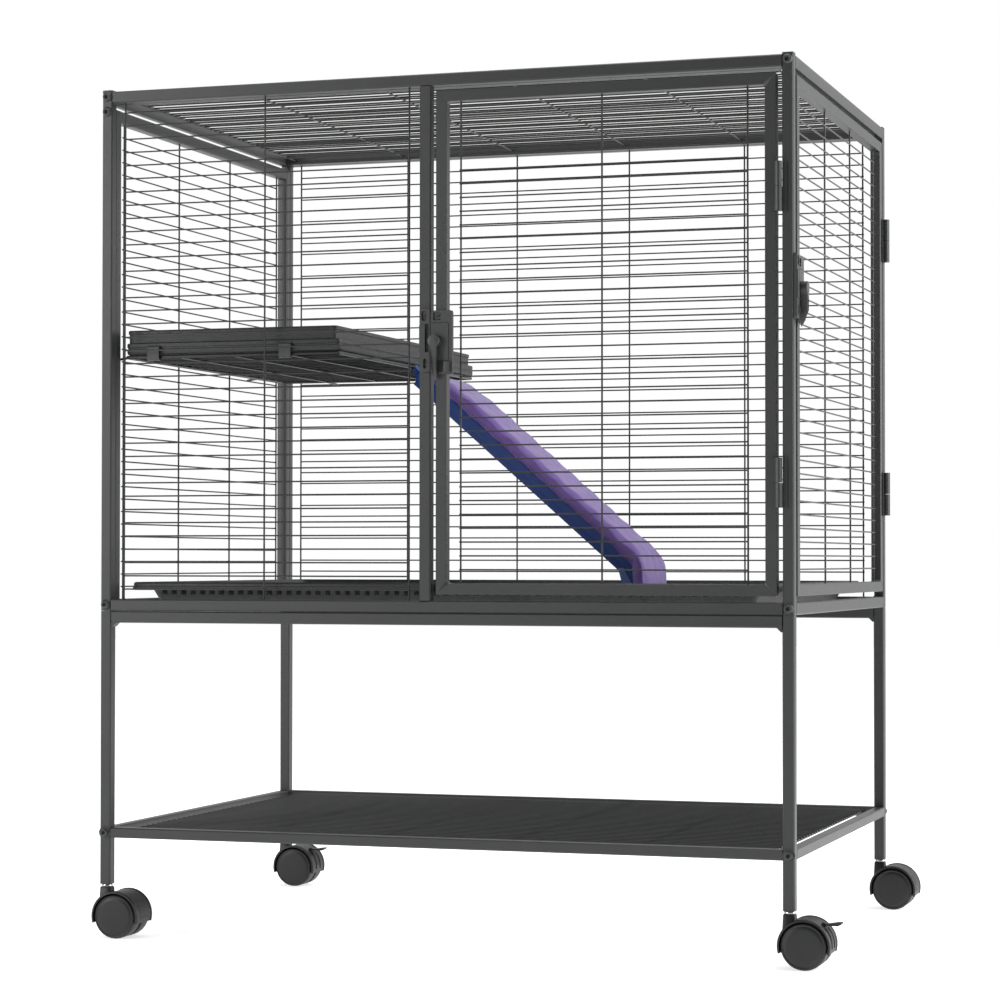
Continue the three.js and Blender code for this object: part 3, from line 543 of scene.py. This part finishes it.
def mitred_frame(form, axis, u, v, thickness, u_tube, v_tube):
    """A door frame of square tube with mitred corners, as one ring with a weld fillet inside."""
    steps = 4
    edge = 0.7
    fillet = 4.0
    outer = rounded(u, v, 1.6, steps)
    outer_small = rounded(inset(u, edge), inset(v, edge), 1.2, steps)
    inner_u, inner_v = inset(u, u_tube), inset(v, v_tube)
    inner = rounded(inner_u, inner_v, fillet, steps)
    inner_big = rounded(sunk(inner_u, edge), sunk(inner_v, edge), fillet, steps)
    near, far = thickness
    stations = [(outer_small, near), (outer, near + edge), (outer, far - edge), (outer_small, far),
                (inner_big, far), (inner, far - edge), (inner, near + edge), (inner_big, near)]
    form.rings([[placed(axis, at, *point) for point in ring] for ring, at in stations], closed=True)


def front_door():
    x, y, z = spans("front_door")
    tubes = Form()
    mitred_frame(tubes, Y, z, x, y, DOOR_RAIL, DOOR_STILE)
    make("front_door_frame", tubes, POWDER_COAT, "front_door",
         replaces=("front_door",))
    open_x, open_z = inset(x, DOOR_STILE), inset(z, DOOR_RAIL)
    grille("front_door", X, Z, WIRE_INSET, 1, spread(open_z, FRONT_DOOR_PITCH, 15),
           cross_places(open_x, 16.8, 3, far_inset=22.5), sunk(open_z, WELD), "front_door")


def side_door():
    x, y, z = spans("side_door")
    tubes = Form()
    mitred_frame(tubes, X, y, z, x, DOOR_STILE, DOOR_RAIL)
    make("side_door_frame", tubes, POWDER_COAT, "side_door", replaces=("side_door",))
    open_y, open_z = inset(y, DOOR_STILE), inset(z, DOOR_RAIL)
    grille("side_door", Y, Z, HALF_WIDTH - WIRE_INSET, -1, spread(open_z, SIDE_DOOR_PITCH, 15),
           cross_places(open_y, 20, 4), sunk(open_z, WELD), "side_door")


# ------------------------------------------------------------------ bolts and end caps

MID_POST = HALF_WIDTH - POST / 2
# A button-head screw, its socket drawn as a dark disc of painted shade on the head, and a round saddle,
# as radius and height over the tube.
BOLT_HEAD = [(0.01, 1.2), (2.2, 1.2), (2.5, 3.2), (3.8, 3.5), (5.4, 2.6), (6.3, 0.9), (6.3, -0.2),
             (0.01, -0.2)]
BOLT_SOCKET = [(0.01, 1.3), (2.15, 1.3), (2.15, 0.9), (0.01, 0.9)]
SADDLE = [(0.01, 1.1), (7.4, 1.1), (8.1, 0.5), (8.1, -0.2), (0.01, -0.2)]
SADDLE_HEIGHT = 1.1
STAND_HEAD_RADIUS = 5.6


def bolt_heads():
    """Button-head screws with a socket drawn as a dark disc of painted shade, where the posts, legs and
    rails meet. Those of the stand hold the rails by a round saddle, and the left posts have a second one
    below the top."""
    heads, sockets, saddles = Form(), Form(), Form()
    stand = spans("rack_front_rail")[Z][0] + 6.5
    levels = [TOP_RAIL[1] - 6.5, BOTTOM_RAIL[0] + 8, stand]
    places = [(x, z) for x in (-MID_POST, MID_POST) for z in levels]
    places.append((-MID_POST, TOP_RAIL[1] - 26))
    for x, z in places:
        fittings = [(heads, BOLT_HEAD, 0.0), (sockets, BOLT_SOCKET, 0.0)]
        if z == stand:
            small_head = [(min(r, STAND_HEAD_RADIUS), h) for r, h in BOLT_HEAD]
            fittings = [(heads, small_head, SADDLE_HEIGHT), (sockets, BOLT_SOCKET, SADDLE_HEIGHT),
                        (saddles, SADDLE, 0.0)]
        for y, side in ((0, -1), (DEPTH, 1)):
            for form, profile, lift in fittings:
                turned(form, [(r, side * (h + lift)) for r, h in profile], (x, y, z), axis=Y, sides=24)
    make("corner_bolts", heads, BLACK_ABS, "cage")
    # The sockets are dark discs of painted shade.
    make("corner_bolt_socket_shade", sockets, PAINTED_SHADE_ABS, "cage")
    make("stand_saddles", saddles, POWDER_COAT, "cage")


def post_caps():
    """Moulded plugs in the open tops of the four posts."""
    form = Form()
    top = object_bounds()[1].z / M - 0.05
    # Height, width and corner radius, up over the eased edge.
    stations = [(top - 2.4, 14.2, 1.6), (top - 0.5, 14.2, 1.6), (top, 13.2, 2)]
    for x in (-MID_POST, MID_POST):
        for y in (POST / 2, DEPTH - POST / 2):
            form.rings([[(px, py, z) for px, py in rounded(around(x, size), around(y, size), radius)]
                        for z, size, radius in stations])
    make("post_caps", form, BLACK_ABS, "cage")


def weld_beads():
    """Small fillet welds where the tubes of the posts, rails and panels meet."""
    bead_radius, bead_length = 1.1, 9
    start = (POST - bead_length) / 2
    form = Form()
    inner = INNER_X - 0.4
    for x in (-inner, inner):
        for z in (BOTTOM_RAIL[1] + 0.1, TOP_RAIL[0] - 0.1):
            for y in (start, DEPTH - POST + start):
                rod(form, (x, y, z), (x, y + bead_length, z), bead_radius, sides=8)
    make("weld_beads", form, POWDER_COAT, "cage")


# ------------------------------------------------------------------ tray and shelf

PAN_RISE = 2
PAN_CORNER = 6
PAN_LEDGE = 4.4


def basin(form, levels, steps=7):
    """A thin-walled tray: rounded rectangles joined from the outside bottom over the rim to the
    inside floor. Each level is the X span, the Y span, the corner radius and the height."""
    form.rings([[(px, py, z) for px, py in rounded(x, y, radius, steps)] for x, y, radius, z in levels])


def floor_tray():
    """The floor tray with a turned-down lip, sloping walls and small ribs under its flange."""
    x, y, z = spans("floor_tray")
    bottom, top = z
    slope_in, slope_out, lip = 30, 17, 10.5

    def level(by, height, radius=14):
        return inset(x, by), inset(y, by), max(radius - by / 4, 3), height

    form = Form()
    basin(form, [
        level(slope_in + 3, bottom), level(slope_in, bottom + 1.2), level(slope_out + 2, top - 4),
        level(slope_out - 1, top - 2.6), level(2.6, top - 2.4), level(2.2, top - lip),
        level(0.4, top - lip), level(0, top - lip + 0.8), level(0, top - 5.6), level(1.1, top - 5),
        level(1.1, top - 2.2), level(1.9, top - 0.6), level(3.2, top), level(8, top),
        level(8.8, top - 1.3), level(10, top - 1.3), level(slope_out, top - 1.3),
        level(slope_out + 2, top - 1.2), level(slope_in + 1, bottom + 4),
        level(slope_in + 4, bottom + 2.4),
    ])
    make("floor_tray_shell", form, CHARCOAL_PP, "cage", replaces=("floor_tray",))
    ribs = Form()
    rib_count, rib_width = 58, 1.8
    run = inset(x, 46)
    for at in row(run[0], rib_count, (run[1] - run[0]) / (rib_count - 1)):
        for rib_y in ((y[0] + 1.6, y[0] + slope_out), (y[1] - slope_out, y[1] - 1.6)):
            block(ribs, around(at, rib_width), rib_y, (top - lip - 6, top - lip + 3))
    make("floor_tray_ribs", ribs, CHARCOAL_PP, "cage", replaces=("floor_tray",))


def shelf_pan():
    """The shelf pan, whose right end has a ledge round its lower half."""
    x, y, z = spans("platform_pan")
    bottom, top = z[0], z[1] + PAN_RISE
    middle = bottom + 15

    def level(by, height):
        end = x[1] + (PAN_LEDGE if height <= middle else 0.8)
        return inset((x[0], end), by), inset(y, by), max(PAN_CORNER - by / 2, 1.5), height

    form = Form()
    basin(form, [
        level(2.2, bottom), level(0.8, bottom + 0.8), level(0, bottom + 2.5), level(0, bottom + 6.6),
        level(0.9, bottom + 7.4), level(0.9, bottom + 9), level(0, bottom + 9.8), level(0, middle - 0.8),
        level(0.8, middle), level(2.6, middle + 0.6), level(2.6, top - 5.4), level(1.5, top - 4.8),
        level(1.5, top - 1.2), level(2.1, top - 0.3), level(3, top), level(4.4, top - 0.3),
        level(4.9, top - 1.2), level(5.4, bottom + 7), level(6.9, bottom + 4), level(9.5, bottom + 3),
    ])
    make("shelf_pan_shell", form, CHARCOAL_PP, "cage", replaces=("platform_pan",))


def shelf_rack():
    """The hanging rack of rods under the shelf pan, with hooks over the wires of two panels."""
    x, y, z = spans("platform_rack")
    pan_x, pan_y, pan_z = spans("platform_pan")
    line_radius, hook_radius, bend = 1.2, 1.6, 3
    line_pitch = 26.5
    rod_z = pan_z[0] - RACK_GAP - RACK_ROD
    left, right = pan_x[0] - 3 + RACK_ROD, x[1] - RACK_ROD
    near, far = y[0] + RACK_ROD, pan_y[1] - RACK_ROD
    form = Form()
    bent_rod(form, [(left, near, rod_z), (right, near, rod_z), (right, far, rod_z), (left, far, rod_z)],
             RACK_ROD, 3.2, closed=True)
    line_z = pan_z[0] - 0.3 - line_radius
    at = near + 11
    while at < far - 5:
        rod(form, (left, at, line_z), (right, at, line_z), line_radius)
        at += line_pitch
    for at in cross_places((left - RACK_ROD, right + RACK_ROD), 76, 3):
        rod(form, (at, near, line_z - 2.2), (at, far, line_z - 2.2), line_radius)
    hook_top = z[1] - 1.4 - 4
    side_x, rear_y = x[0] + 3, DEPTH - WIRE_INSET - 4.5
    for at in (y[0] + 12, far - 90):
        bent_rod(form, [(left, at, rod_z), (side_x, at, rod_z), (side_x, at, hook_top)],
                 hook_radius, bend)
    for at in (left + 70, right - 90):
        bent_rod(form, [(at, far, rod_z), (at, rear_y, rod_z), (at, rear_y, hook_top)],
                 hook_radius, bend)
    # The rods take the wire coat painted darker as shade.
    make("shelf_rack_rods", form, SHADED_WIRE_COAT, "cage", replaces=("platform_rack",))


front_grille()
left_panel()
rear_panel()
roof_panel()
floor_grid()
storage_grille()
front_door()
side_door()
bolt_heads()
post_caps()
weld_beads()
floor_tray()
shelf_pan()


# ------------------------------------------------------------------ casters

# The ring and stem of a caster, as radius and height over the end of the leg.
STEM_RING = [(0.01, -3.2), (6.6, -3.2), (7, -2.8), (7, -0.9), (6.6, -0.4), (4, -0.3), (4, 30),
             (0.01, 30.5)]


def hood_shell(form, outer_radius, inner_radius, half_width):
    """The curved hood over a pair of wheels: an arc with a raised lip at both sides. It reaches a
    little below the axle."""
    dip = math.asin(9 / outer_radius)
    start, end = math.pi + dip, -dip
    body = outer_radius - 0.9
    outer = [(outer_radius - 2.6, half_width), (outer_radius - 0.7, half_width - 0.4),
             (outer_radius, half_width - 1.5), (outer_radius, half_width - 3.2), (body, half_width - 4.2),
             (body, half_width - 9)]
    section = [(r, -w) for r, w in outer] + [(r, w) for r, w in reversed(outer)]
    section += [(inner_radius, half_width), (inner_radius, -half_width)]
    steps = 48
    rings = []
    for i in range(steps + 1):
        angle = start + (end - start) * i / steps
        rings.append([(r * math.cos(angle), y, r * math.sin(angle)) for r, y in section])
    form.rings(rings)


def arc_band(form, radii, degrees, y):
    """A curved strip round the wheel axis, between two radii and two angles."""
    steps = 12
    corners = [(radii[0], y[0]), (radii[1], y[0]), (radii[1], y[1]), (radii[0], y[1])]
    rings = []
    for i in range(steps + 1):
        angle = math.radians(degrees[0] + (degrees[1] - degrees[0]) * i / steps)
        rings.append([(r * math.cos(angle), at, r * math.sin(angle)) for r, at in corners])
    form.rings(rings)


def caster(name, has_brake):
    """A hood with its web, collar and stem, and a pair of wheels. A hood with a brake has a slot
    for the lever between two rails, drawn as a dark strip of painted shade, and a plain one has grip
    ridges there."""
    wheels_box = spans(f"{name}_wheels")
    centre = Vector([sum(span) / 2 for span in wheels_box])
    half = (wheels_box[Y][1] - wheels_box[Y][0]) / 2
    swivel = f"{name}_swivel"

    hood = Form()
    hood_shell(hood, HOOD_RADIUS, WHEEL_RADIUS + 1.1, half)
    foot, crown = HOOD_RADIUS - 2, HOOD_RADIUS - 0.3
    if has_brake:
        for y in (-7.6, 7.6):
            arc_band(hood, (foot, HOOD_RADIUS), (-6, 42), around(y, 2.2))
        # The slot is a dark strip of painted shade on the hood.
        slot = Form()
        arc_band(slot, (foot, HOOD_RADIUS - 0.6), (4, 40), around(0, 9))
        make(f"{name}_brake_slot_shade", slot.moved(Matrix.Translation(centre)), PAINTED_SHADE_ABS, swivel)
    else:
        ridge = [(foot, -0.02), (crown, -0.014), (crown, 0.014), (foot, 0.02)]
        for step in range(9):
            angle = math.radians(-4 + step * 5)
            hood.rings([[(r * math.cos(angle + a), y, r * math.sin(angle + a)) for r, a in ridge]
                        for y in (-12, 12)])
    web = arc(WHEEL_RADIUS + 1, -14, 194, 40)
    hood.rings([[(x, y, z) for x, z in web] for y in (-2.5, 2.5)])
    # Height and half width of the square collar, up to its eased top.
    collar_top = LEG_END - centre.z - 3.4
    collar = [(18, 8.2), (collar_top - 1, 7.4), (collar_top, 6.6)]
    hood.rings([[(px, py, z) for px, py in rounded(around(-TRAIL, 2 * size), around(0, 2 * size), 2.6)]
                for z, size in collar])
    make(f"{name}_hood", hood.moved(Matrix.Translation(centre)), NYLON, swivel,
         replaces=(f"{name}_caster",))

    ring = Form()
    turned(ring, STEM_RING, (centre.x - TRAIL, centre.y, LEG_END), sides=32)
    make(f"{name}_stem_ring", ring, ZINC, swivel)

    # One wheel from the gap between the two, over its tread, to the rim and the flat of its face.
    wheels = Form()
    r = WHEEL_RADIUS
    side = [(3, 3.1), (r - 1.6, 3.1), (r - 0.3, 4.2), (r, 6.5), (r, half - 5), (r - 0.4, half - 2.6),
            (r - 1.4, half - 1), (r - 2.6, half - 0.4), (r - 3.4, half - 0.9), (r - 4.2, half - 0.9),
            (r - 5, half - 0.3), (r - 9, half), (0.01, half)]
    profile = [(radius, -y) for radius, y in reversed(side)] + side
    turned(wheels, profile, centre, axis=Y, sides=72)
    make(f"{name}_wheel_pair", wheels, NYLON, f"{name}_wheels", replaces=(f"{name}_wheels",))
    if has_brake:
        coat_node(f"{name}_brake_lever", NYLON)


def ease_edges(piece, width):
    """Eases the hard edges of a piece."""
    edges = piece.modifiers.new("eased edges", "BEVEL")
    edges.width = width * M
    edges.segments = 2
    edges.limit_method = "ANGLE"
    edges.angle_limit = math.radians(38)


def coat_node(node, material, bevel=0.4):
    """Gives a CAD node its finish, with its hard edges eased."""
    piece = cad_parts[node]
    piece.data.materials.clear()
    piece.data.materials.append(material)
    ease_edges(piece, bevel)


for corner_name, braked in (("front_left", False), ("front_right", True), ("rear_left", True),
                            ("rear_right", False)):
    caster(corner_name, braked)


# ------------------------------------------------------------------ ramp

# Where the ramp turns, where the underside of its board starts and which way it runs, as X and Z.
PIVOT = (spans("platform_rack")[X][1] - RACK_ROD, spans("platform_pan")[Z][0] - (RACK_GAP + RACK_ROD))
RAMP_START = (PIVOT[0] + 1, PIVOT[1] - 22)
RAMP_WAY = (math.cos(RAMP_SLOPE), -math.sin(RAMP_SLOPE))
FOOT_Z = spans("ramp_board")[Z][0]
# The sloping part ends above the foot, which stands on the tray.
RAMP_LENGTH = (RAMP_START[1] - FOOT_Z - 33.5) / math.sin(RAMP_SLOPE)
# The height of the board under the cover, and how far down the cover is thinner.
BOARD = 20
TAPER_END = 85


def on_ramp(along, up):
    """A point at a distance down the ramp and a height square to it, as X and Z."""
    return (RAMP_START[0] + along * RAMP_WAY[0] - up * RAMP_WAY[1],
            RAMP_START[1] + along * RAMP_WAY[1] + up * RAMP_WAY[0])


def slab(form, outline, y):
    """An outline in X and Z, thickened along Y."""
    form.rings([[(x, at, z) for x, z in outline] for at in y])


def ramp_board():
    """The moulded board with its rib, hooks on the rod of the rack and a foot."""
    y = spans("ramp_board")[Y]
    end, tip = on_ramp(RAMP_LENGTH, 0), on_ramp(RAMP_LENGTH, BOARD)
    step, toe = 8.5, FOOT_Z + 12
    form = Form()
    slab(form, [on_ramp(0, step), on_ramp(RAMP_LENGTH - 6, step), (end[0] - 1, toe), (tip[0], toe), tip,
                on_ramp(0, BOARD)], y)
    slab(form, [on_ramp(3, 0), on_ramp(RAMP_LENGTH - 4, 0), on_ramp(RAMP_LENGTH - 2, step + 1),
                on_ramp(3, step + 1)], inset(y, 1.8))
    hook = arc(4.3, -150, 40, 12, PIVOT) + arc(2.7, -150, 40, 12, PIVOT)[::-1]
    arm = [(PIVOT[0] + 1, PIVOT[1] - 3.4), on_ramp(2, 3), on_ramp(14, BOARD - 2),
           (PIVOT[0] + 4.6, PIVOT[1] - 1)]
    hook_spacing, hook_width = 79.5, 14
    for at in around(sum(y) / 2, hook_spacing):
        slab(form, hook, around(at, hook_width))
        slab(form, arm, around(at, hook_width))
    board = make("ramp_board_moulding", form, BLUE_PP, "ramp", replaces=("ramp_board",))
    ease_edges(board, 0.8)
    foot = Form()
    heel = [(end[0] - 8.4, end[1] + 10.8), (end[0] - 0.4, end[1] + 10.8), (tip[0] + 1, end[1] - 14),
            (tip[0] + 1, FOOT_Z), (tip[0] - 9, FOOT_Z), (end[0] - 3.1, end[1] - 9)]
    for heel_y in ((y[0] - 1.2, y[0] + 5), (y[1] - 5, y[1] + 1.2)):
        slab(foot, heel, heel_y)
    ease_edges(make("ramp_foot", foot, FOOT_RUBBER, "ramp", replaces=("ramp_board",)), 0.8)


def ramp_cover():
    """The padded cover, inflated from its own solid by a short cloth simulation."""
    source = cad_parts["ramp_cover"]
    cover = bpy.data.objects.new("ramp_cover_pad", source.data.copy())
    bpy.context.scene.collection.objects.link(cover)
    cover.data.materials.clear()
    cover.data.materials.append(LILAC_SATIN)
    bm = bmesh.new()
    bm.from_mesh(cover.data)
    bmesh.ops.remove_doubles(bm, verts=bm.verts, dist=1e-5)
    bm.to_mesh(cover.data)
    bm.free()
    bpy.context.view_layer.objects.active = cover
    remesh = cover.modifiers.new("remesh", "REMESH")
    remesh.mode = "VOXEL"
    remesh.voxel_size = 4.0 * M
    bpy.ops.object.modifier_apply(modifier=remesh.name)
    taper(cover)
    rest = [vertex.co.copy() for vertex in cover.data.vertices]
    inflate(cover, rest, pressure=3.0, cap_mm=4.0)
    pucker(cover)
    smooth = cover.modifiers.new("smooth", "SMOOTH")
    smooth.factor = 0.5
    smooth.iterations = 3
    bpy.ops.object.modifier_apply(modifier=smooth.name)
    fine = cover.modifiers.new("fine", "SUBSURF")
    fine.levels = 1
    fine.render_levels = 1
    bpy.ops.object.modifier_apply(modifier=fine.name)
    cover.data.shade_smooth()
    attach(cover, "ramp")
    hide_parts("ramp_cover")
    cover_seams(cover)


def along_up(vertex):
    """How far down the ramp and how high above its underside a vertex of the cover is."""
    x, z = vertex.x / M - SHIFT.x - RAMP_START[0], vertex.z / M - RAMP_START[1]
    return x * RAMP_WAY[0] + z * RAMP_WAY[1], -x * RAMP_WAY[1] + z * RAMP_WAY[0]


def ramp_up(distance):
    """A move square to the ramp, in metres."""
    return Vector((-RAMP_WAY[1], 0, RAMP_WAY[0])) * distance * M


def taper(cover):
    """Thins the padding towards the upper end, where the cover is gathered under the shelf."""
    thinned, curve = 0.62, 1.4
    for vertex in cover.data.vertices:
        along, up = along_up(vertex.co)
        over = up - BOARD
        if along < TAPER_END and over > 0:
            share = max(along, 0) / TAPER_END
            vertex.co -= ramp_up(over * thinned * (1 - share) ** curve)


def pucker(cover):
    """Presses soft cross folds into the crown of the pad, deepest along its middle."""
    fold_pitch, half_width, crown = 37, 61, 7
    middle = sum(spans("ramp_cover")[Y]) / 2
    for vertex in cover.data.vertices:
        along, up = along_up(vertex.co)
        across = (vertex.co.y / M - SHIFT.y - middle) / half_width
        if up - BOARD > crown and 12 < along < RAMP_LENGTH:
            wander = 0.9 * math.sin(along / 55) + 0.8 * across
            fold = math.sin(2 * math.pi * along / fold_pitch + wander)
            vertex.co += ramp_up(fold * (1 - 0.5 * across * across))


def cover_seams(cover):
    """Two rows of stitches along each side of the cover, sunk a little into the cloth."""
    stitch, stitch_pitch, thread_radius = 3.2, 5.4, 0.45
    outside = 6
    tree = surface(cover.data)
    y = spans("ramp_cover")[Y]
    form = Form()
    for side in (y[0] - outside, y[1] + outside):
        inward = 1 if side < y[0] else -1
        for row_up in (BOARD + 3.2, BOARD + 5.2):
            along = 20.0
            while along < RAMP_LENGTH - 6:
                ends = []
                for at in (along, along + stitch):
                    x, z = on_ramp(at, row_up)
                    hit = tree.ray_cast((Vector((x, side, z)) + SHIFT) * M, Vector((0, inward, 0)))[0]
                    if hit:
                        ends.append(hit / M - SHIFT)
                if len(ends) == 2:
                    rod(form, ends[0], ends[1], thread_radius, sides=6)
                along += stitch_pitch
    make("ramp_cover_seams", form, SEAM_THREAD, "ramp", replaces=("ramp_cover",))


def inflate(piece, rest, pressure, cap_mm):
    """Blows a closed piece up like a stuffed pad and holds each point within a cap of its rest."""
    scene = bpy.context.scene
    last_frame = 20
    cloth = piece.modifiers.new("cloth", "CLOTH")
    cloth.settings.use_pressure = True
    cloth.settings.uniform_pressure_force = pressure
    cloth.settings.effector_weights.gravity = 0
    cloth.settings.quality = 6
    cloth.collision_settings.use_collision = False
    cloth.point_cache.frame_start = 1
    cloth.point_cache.frame_end = last_frame
    for frame_number in range(1, last_frame + 1):
        scene.frame_set(frame_number)
    bpy.ops.object.modifier_apply(modifier=cloth.name)
    scene.frame_set(1)
    for vertex, start in zip(piece.data.vertices, rest):
        move = vertex.co - start
        if move.length > cap_mm * M:
            vertex.co = start + move.normalized() * cap_mm * M


shelf_rack()
ramp_board()
ramp_cover()

for node_name in ("front_left_post", "front_centre_post", "front_right_post", "front_top_rail",
                  "front_bottom_rail", "right_bottom_rail", "front_left_leg", "front_right_leg",
                  "rear_left_leg", "rear_right_leg", "stand_front_rail", "stand_rear_rail",
                  "rack_front_rail", "rack_rear_rail", "rack_left_rail", "rack_right_rail"):
    coat_node(node_name, POWDER_COAT, bevel=0.6)
for side_name in ("front", "side"):
    for level_name in ("lower", "upper"):
        coat_node(f"{side_name}_{level_name}_hinge_leaf", POWDER_COAT, bevel=0.3)
        coat_node(f"{side_name}_door_{level_name}_hinge_leaf", POWDER_COAT, bevel=0.3)
    for part_name in ("keeper", "housing"):
        coat_node(f"{side_name}_latch_{part_name}", BLACK_ABS, bevel=0.5)
coat_node("platform_clip_left", BLACK_ABS, bevel=0.5)
coat_node("platform_clip_right", BLACK_ABS, bevel=0.5)


# ------------------------------------------------------------------ latch details

# From the front latch to the side latch, along the door and up.
SIDE_LATCH_SHIFT = (spans("side_latch_lever")[Y][0] - spans("front_latch_lever")[X][0],
                    spans("side_latch_lever")[Z][1] - spans("front_latch_lever")[Z][1])
# Where the screw recesses and the boss of the front latch are: the part, the span along the door
# and the heights. Each recess is a dark plate of painted shade round its screw, and the boss has painted
# shade beside it.
RECESSES = (("housing", (4.4, 12.4), (785, 793.6)), ("keeper", (-11.4, -6.2), (784, 794.4)),
            ("keeper", (-11.4, -6.2), (725, 738)))
BOSSES = (("housing", (15.2, 22.8), (722, 734.4)),)
# A dark plate of painted shade beside the lever, where the latch shows dark.
LEVER_SHADE = ("housing", (6.6, 13.4), (721, 750))


def latch_face(side, part, along, height):
    """How far out the face of a part of a latch is at a place, found by a ray from well outside."""
    tree = surface(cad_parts[f"{side}_latch_{part}"].data)
    if side == "front":
        axis, start, way = Y, (along, -90, height), (0, 1, 0)
    else:
        axis, start, way = X, (HALF_WIDTH + 90, along, height), (-1, 0, 0)
    hit = tree.ray_cast((Vector(start) + SHIFT) * M, Vector(way))[0]
    return hit[axis] / M - SHIFT[axis]


def on_latch(form, side, part, along, height, out, border=0.0):
    """A plate on the face of a latch, standing out by a little."""
    shift = SIDE_LATCH_SHIFT if side == "side" else (0, 0)
    along = (along[0] + shift[0] + border, along[1] + shift[0] - border)
    height = (height[0] + shift[1] + border, height[1] + shift[1] - border)
    face = latch_face(side, part, sum(along) / 2, sum(height) / 2)
    if side == "front":
        block(form, along, (face - out, face + 0.4), height, ease=0.12)
    else:
        block(form, (face - 0.4, face + out), along, height, ease=0.12)


def latch_details(side, body):
    """The screw recesses as dark plates of painted shade with their screws, a plate of painted shade
    beside the lever, and the boss at the foot of the housing with painted shade beside it.
    """
    for part, rides in (("housing", body), ("keeper", "cage")):
        shade_plates, heads = Form(), Form()
        for owner, along, height in RECESSES:
            if owner == part:
                # A dark plate of painted shade for each recess.
                on_latch(shade_plates, side, part, along, height, 0.25)
                middle = sum(height) / 2
                on_latch(heads, side, part, along, (middle - 2.4, middle + 2.4), 0.9, border=1.2)
        if part == LEVER_SHADE[0]:
            on_latch(shade_plates, side, part, LEVER_SHADE[1], LEVER_SHADE[2], 0.2)
        for owner, along, height in BOSSES:
            if owner == part:
                # Painted shade reaching out to the left of and above the boss.
                on_latch(shade_plates, side, part, (along[0] - 2, along[1]), (height[0], height[1] + 1.5), 0.2)
                on_latch(heads, side, part, along, height, 1.6)
        make(f"{side}_latch_{part}_recess_shade", shade_plates, PAINTED_SHADE_ABS, rides)
        make(f"{side}_latch_{part}_screws", heads, BLACK_ABS, rides)


def latch_lever(side):
    """The turning lever: a round head on the pin and a narrower tail that slopes back to the face."""
    x, y, z = spans(f"{side}_latch_lever")
    head = 8
    slope_start, slope = 33, 0.55
    pivot_z = z[1] - head
    pivot = (x if side == "front" else y)[0] + head
    face = latch_face(side, "housing", pivot + 14, pivot_z)
    back = 0.5 + (-face if side == "front" else face - HALF_WIDTH)
    proud = -y[0] if side == "front" else x[1] - HALF_WIDTH
    half_tail = [(3.9, -9.6), (3.4, -28), (2.7, -44), (1.5, -46.8)]
    outline = arc(7.8, -58, 230, 24) + [(-along, up) for along, up in half_tail] + half_tail[::-1]

    def ring(shrink, depth):
        points = []
        for along, up in outline:
            drop = max(-slope_start - up, 0) * slope
            out = max(depth - (drop if depth > back else 0), back)
            along, up = along * shrink + pivot, up * (1 - (1 - shrink) / 4) + pivot_z
            points.append((along, -out, up) if side == "front" else (HALF_WIDTH + out, along, up))
        return points

    form = Form()
    form.rings([ring(1, back), ring(1, proud - 1.2), ring(0.94, proud - 0.4), ring(0.86, proud)])
    make(f"{side}_latch_turning_lever", form, BLACK_ABS, f"{side}_latch",
         replaces=(f"{side}_latch_lever",))


latch_details("front", "front_door")
latch_details("side", "side_door")
latch_lever("front")
latch_lever("side")


# ------------------------------------------------------------------ studio

# Soft boxes: name, place in metres, size in metres and power in watts. All look at the same place.
LIGHTS = (
    ("left soft box", (-2.4, -2.7, 1.3), 1.3, 50),
    ("right soft box", (3.0, 0.5, 1.5), 2.0, 92),
    ("top soft box", (0.2, -0.2, 3.4), 2.4, 50),
)
LIT_PLACE = (0, 0, 0.6)
FLOOR_REACH = 12
WHITE = (1, 1, 1, 1)


def studio_floor():
    floor = bpy.data.meshes.new("studio_floor")
    corners = [(x * FLOOR_REACH, y * FLOOR_REACH, 0) for x, y in ((-1, -1), (1, -1), (1, 1), (-1, 1))]
    floor.from_pydata(corners, [], [(0, 1, 2, 3)])
    pale = finish_of("studio paper", ("#f6f6f6", "#fafafa"), (0.85, 0.9), 4, 0.01, cloud_mm=900)
    # The paper glows a little, so that it runs into the white backdrop without an edge.
    pale.node_tree.nodes["Principled BSDF"].inputs["Emission Color"].default_value = WHITE
    pale.node_tree.nodes["Principled BSDF"].inputs["Emission Strength"].default_value = 0.6
    floor.materials.append(pale)
    ground = bpy.data.objects.new("studio_floor", floor)
    bpy.context.scene.collection.objects.link(ground)
    ground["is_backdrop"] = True


def backdrop():
    """A backdrop seen as plain white, which lights the cage from behind and leaves its front dark."""
    world = bpy.data.worlds.new("studio")
    world.use_nodes = True
    tree = world.node_tree
    place = add(tree, "ShaderNodeTexCoord").outputs["Generated"]
    way = add(tree, "ShaderNodeSeparateXYZ", {"Vector": place})
    light = add(tree, "ShaderNodeMapRange", {
        "Value": way.outputs["Y"], "From Min": -0.5, "From Max": 0.6, "To Min": 0.08, "To Max": 0.95,
    })
    seen = add(tree, "ShaderNodeLightPath").outputs["Is Camera Ray"]
    strength = add(tree, "ShaderNodeMath", {0: light.outputs["Result"], 1: seen}, operation="MAXIMUM")
    background = tree.nodes["Background"]
    background.inputs["Color"].default_value = WHITE
    tree.links.new(strength.outputs["Value"], background.inputs["Strength"])
    bpy.context.scene.world = world


def soft_boxes():
    for name, place, size, power in LIGHTS:
        light = bpy.data.lights.new(name, "AREA")
        light.size = size
        light.energy = power
        lamp = bpy.data.objects.new(name, light)
        lamp.location = place
        aim = Vector(LIT_PLACE) - Vector(place)
        lamp.rotation_euler = aim.to_track_quat("-Z", "Y").to_euler()
        bpy.context.scene.collection.objects.link(lamp)


studio_floor()
backdrop()
bpy.context.scene.view_settings.view_transform = "Standard"
soft_boxes()
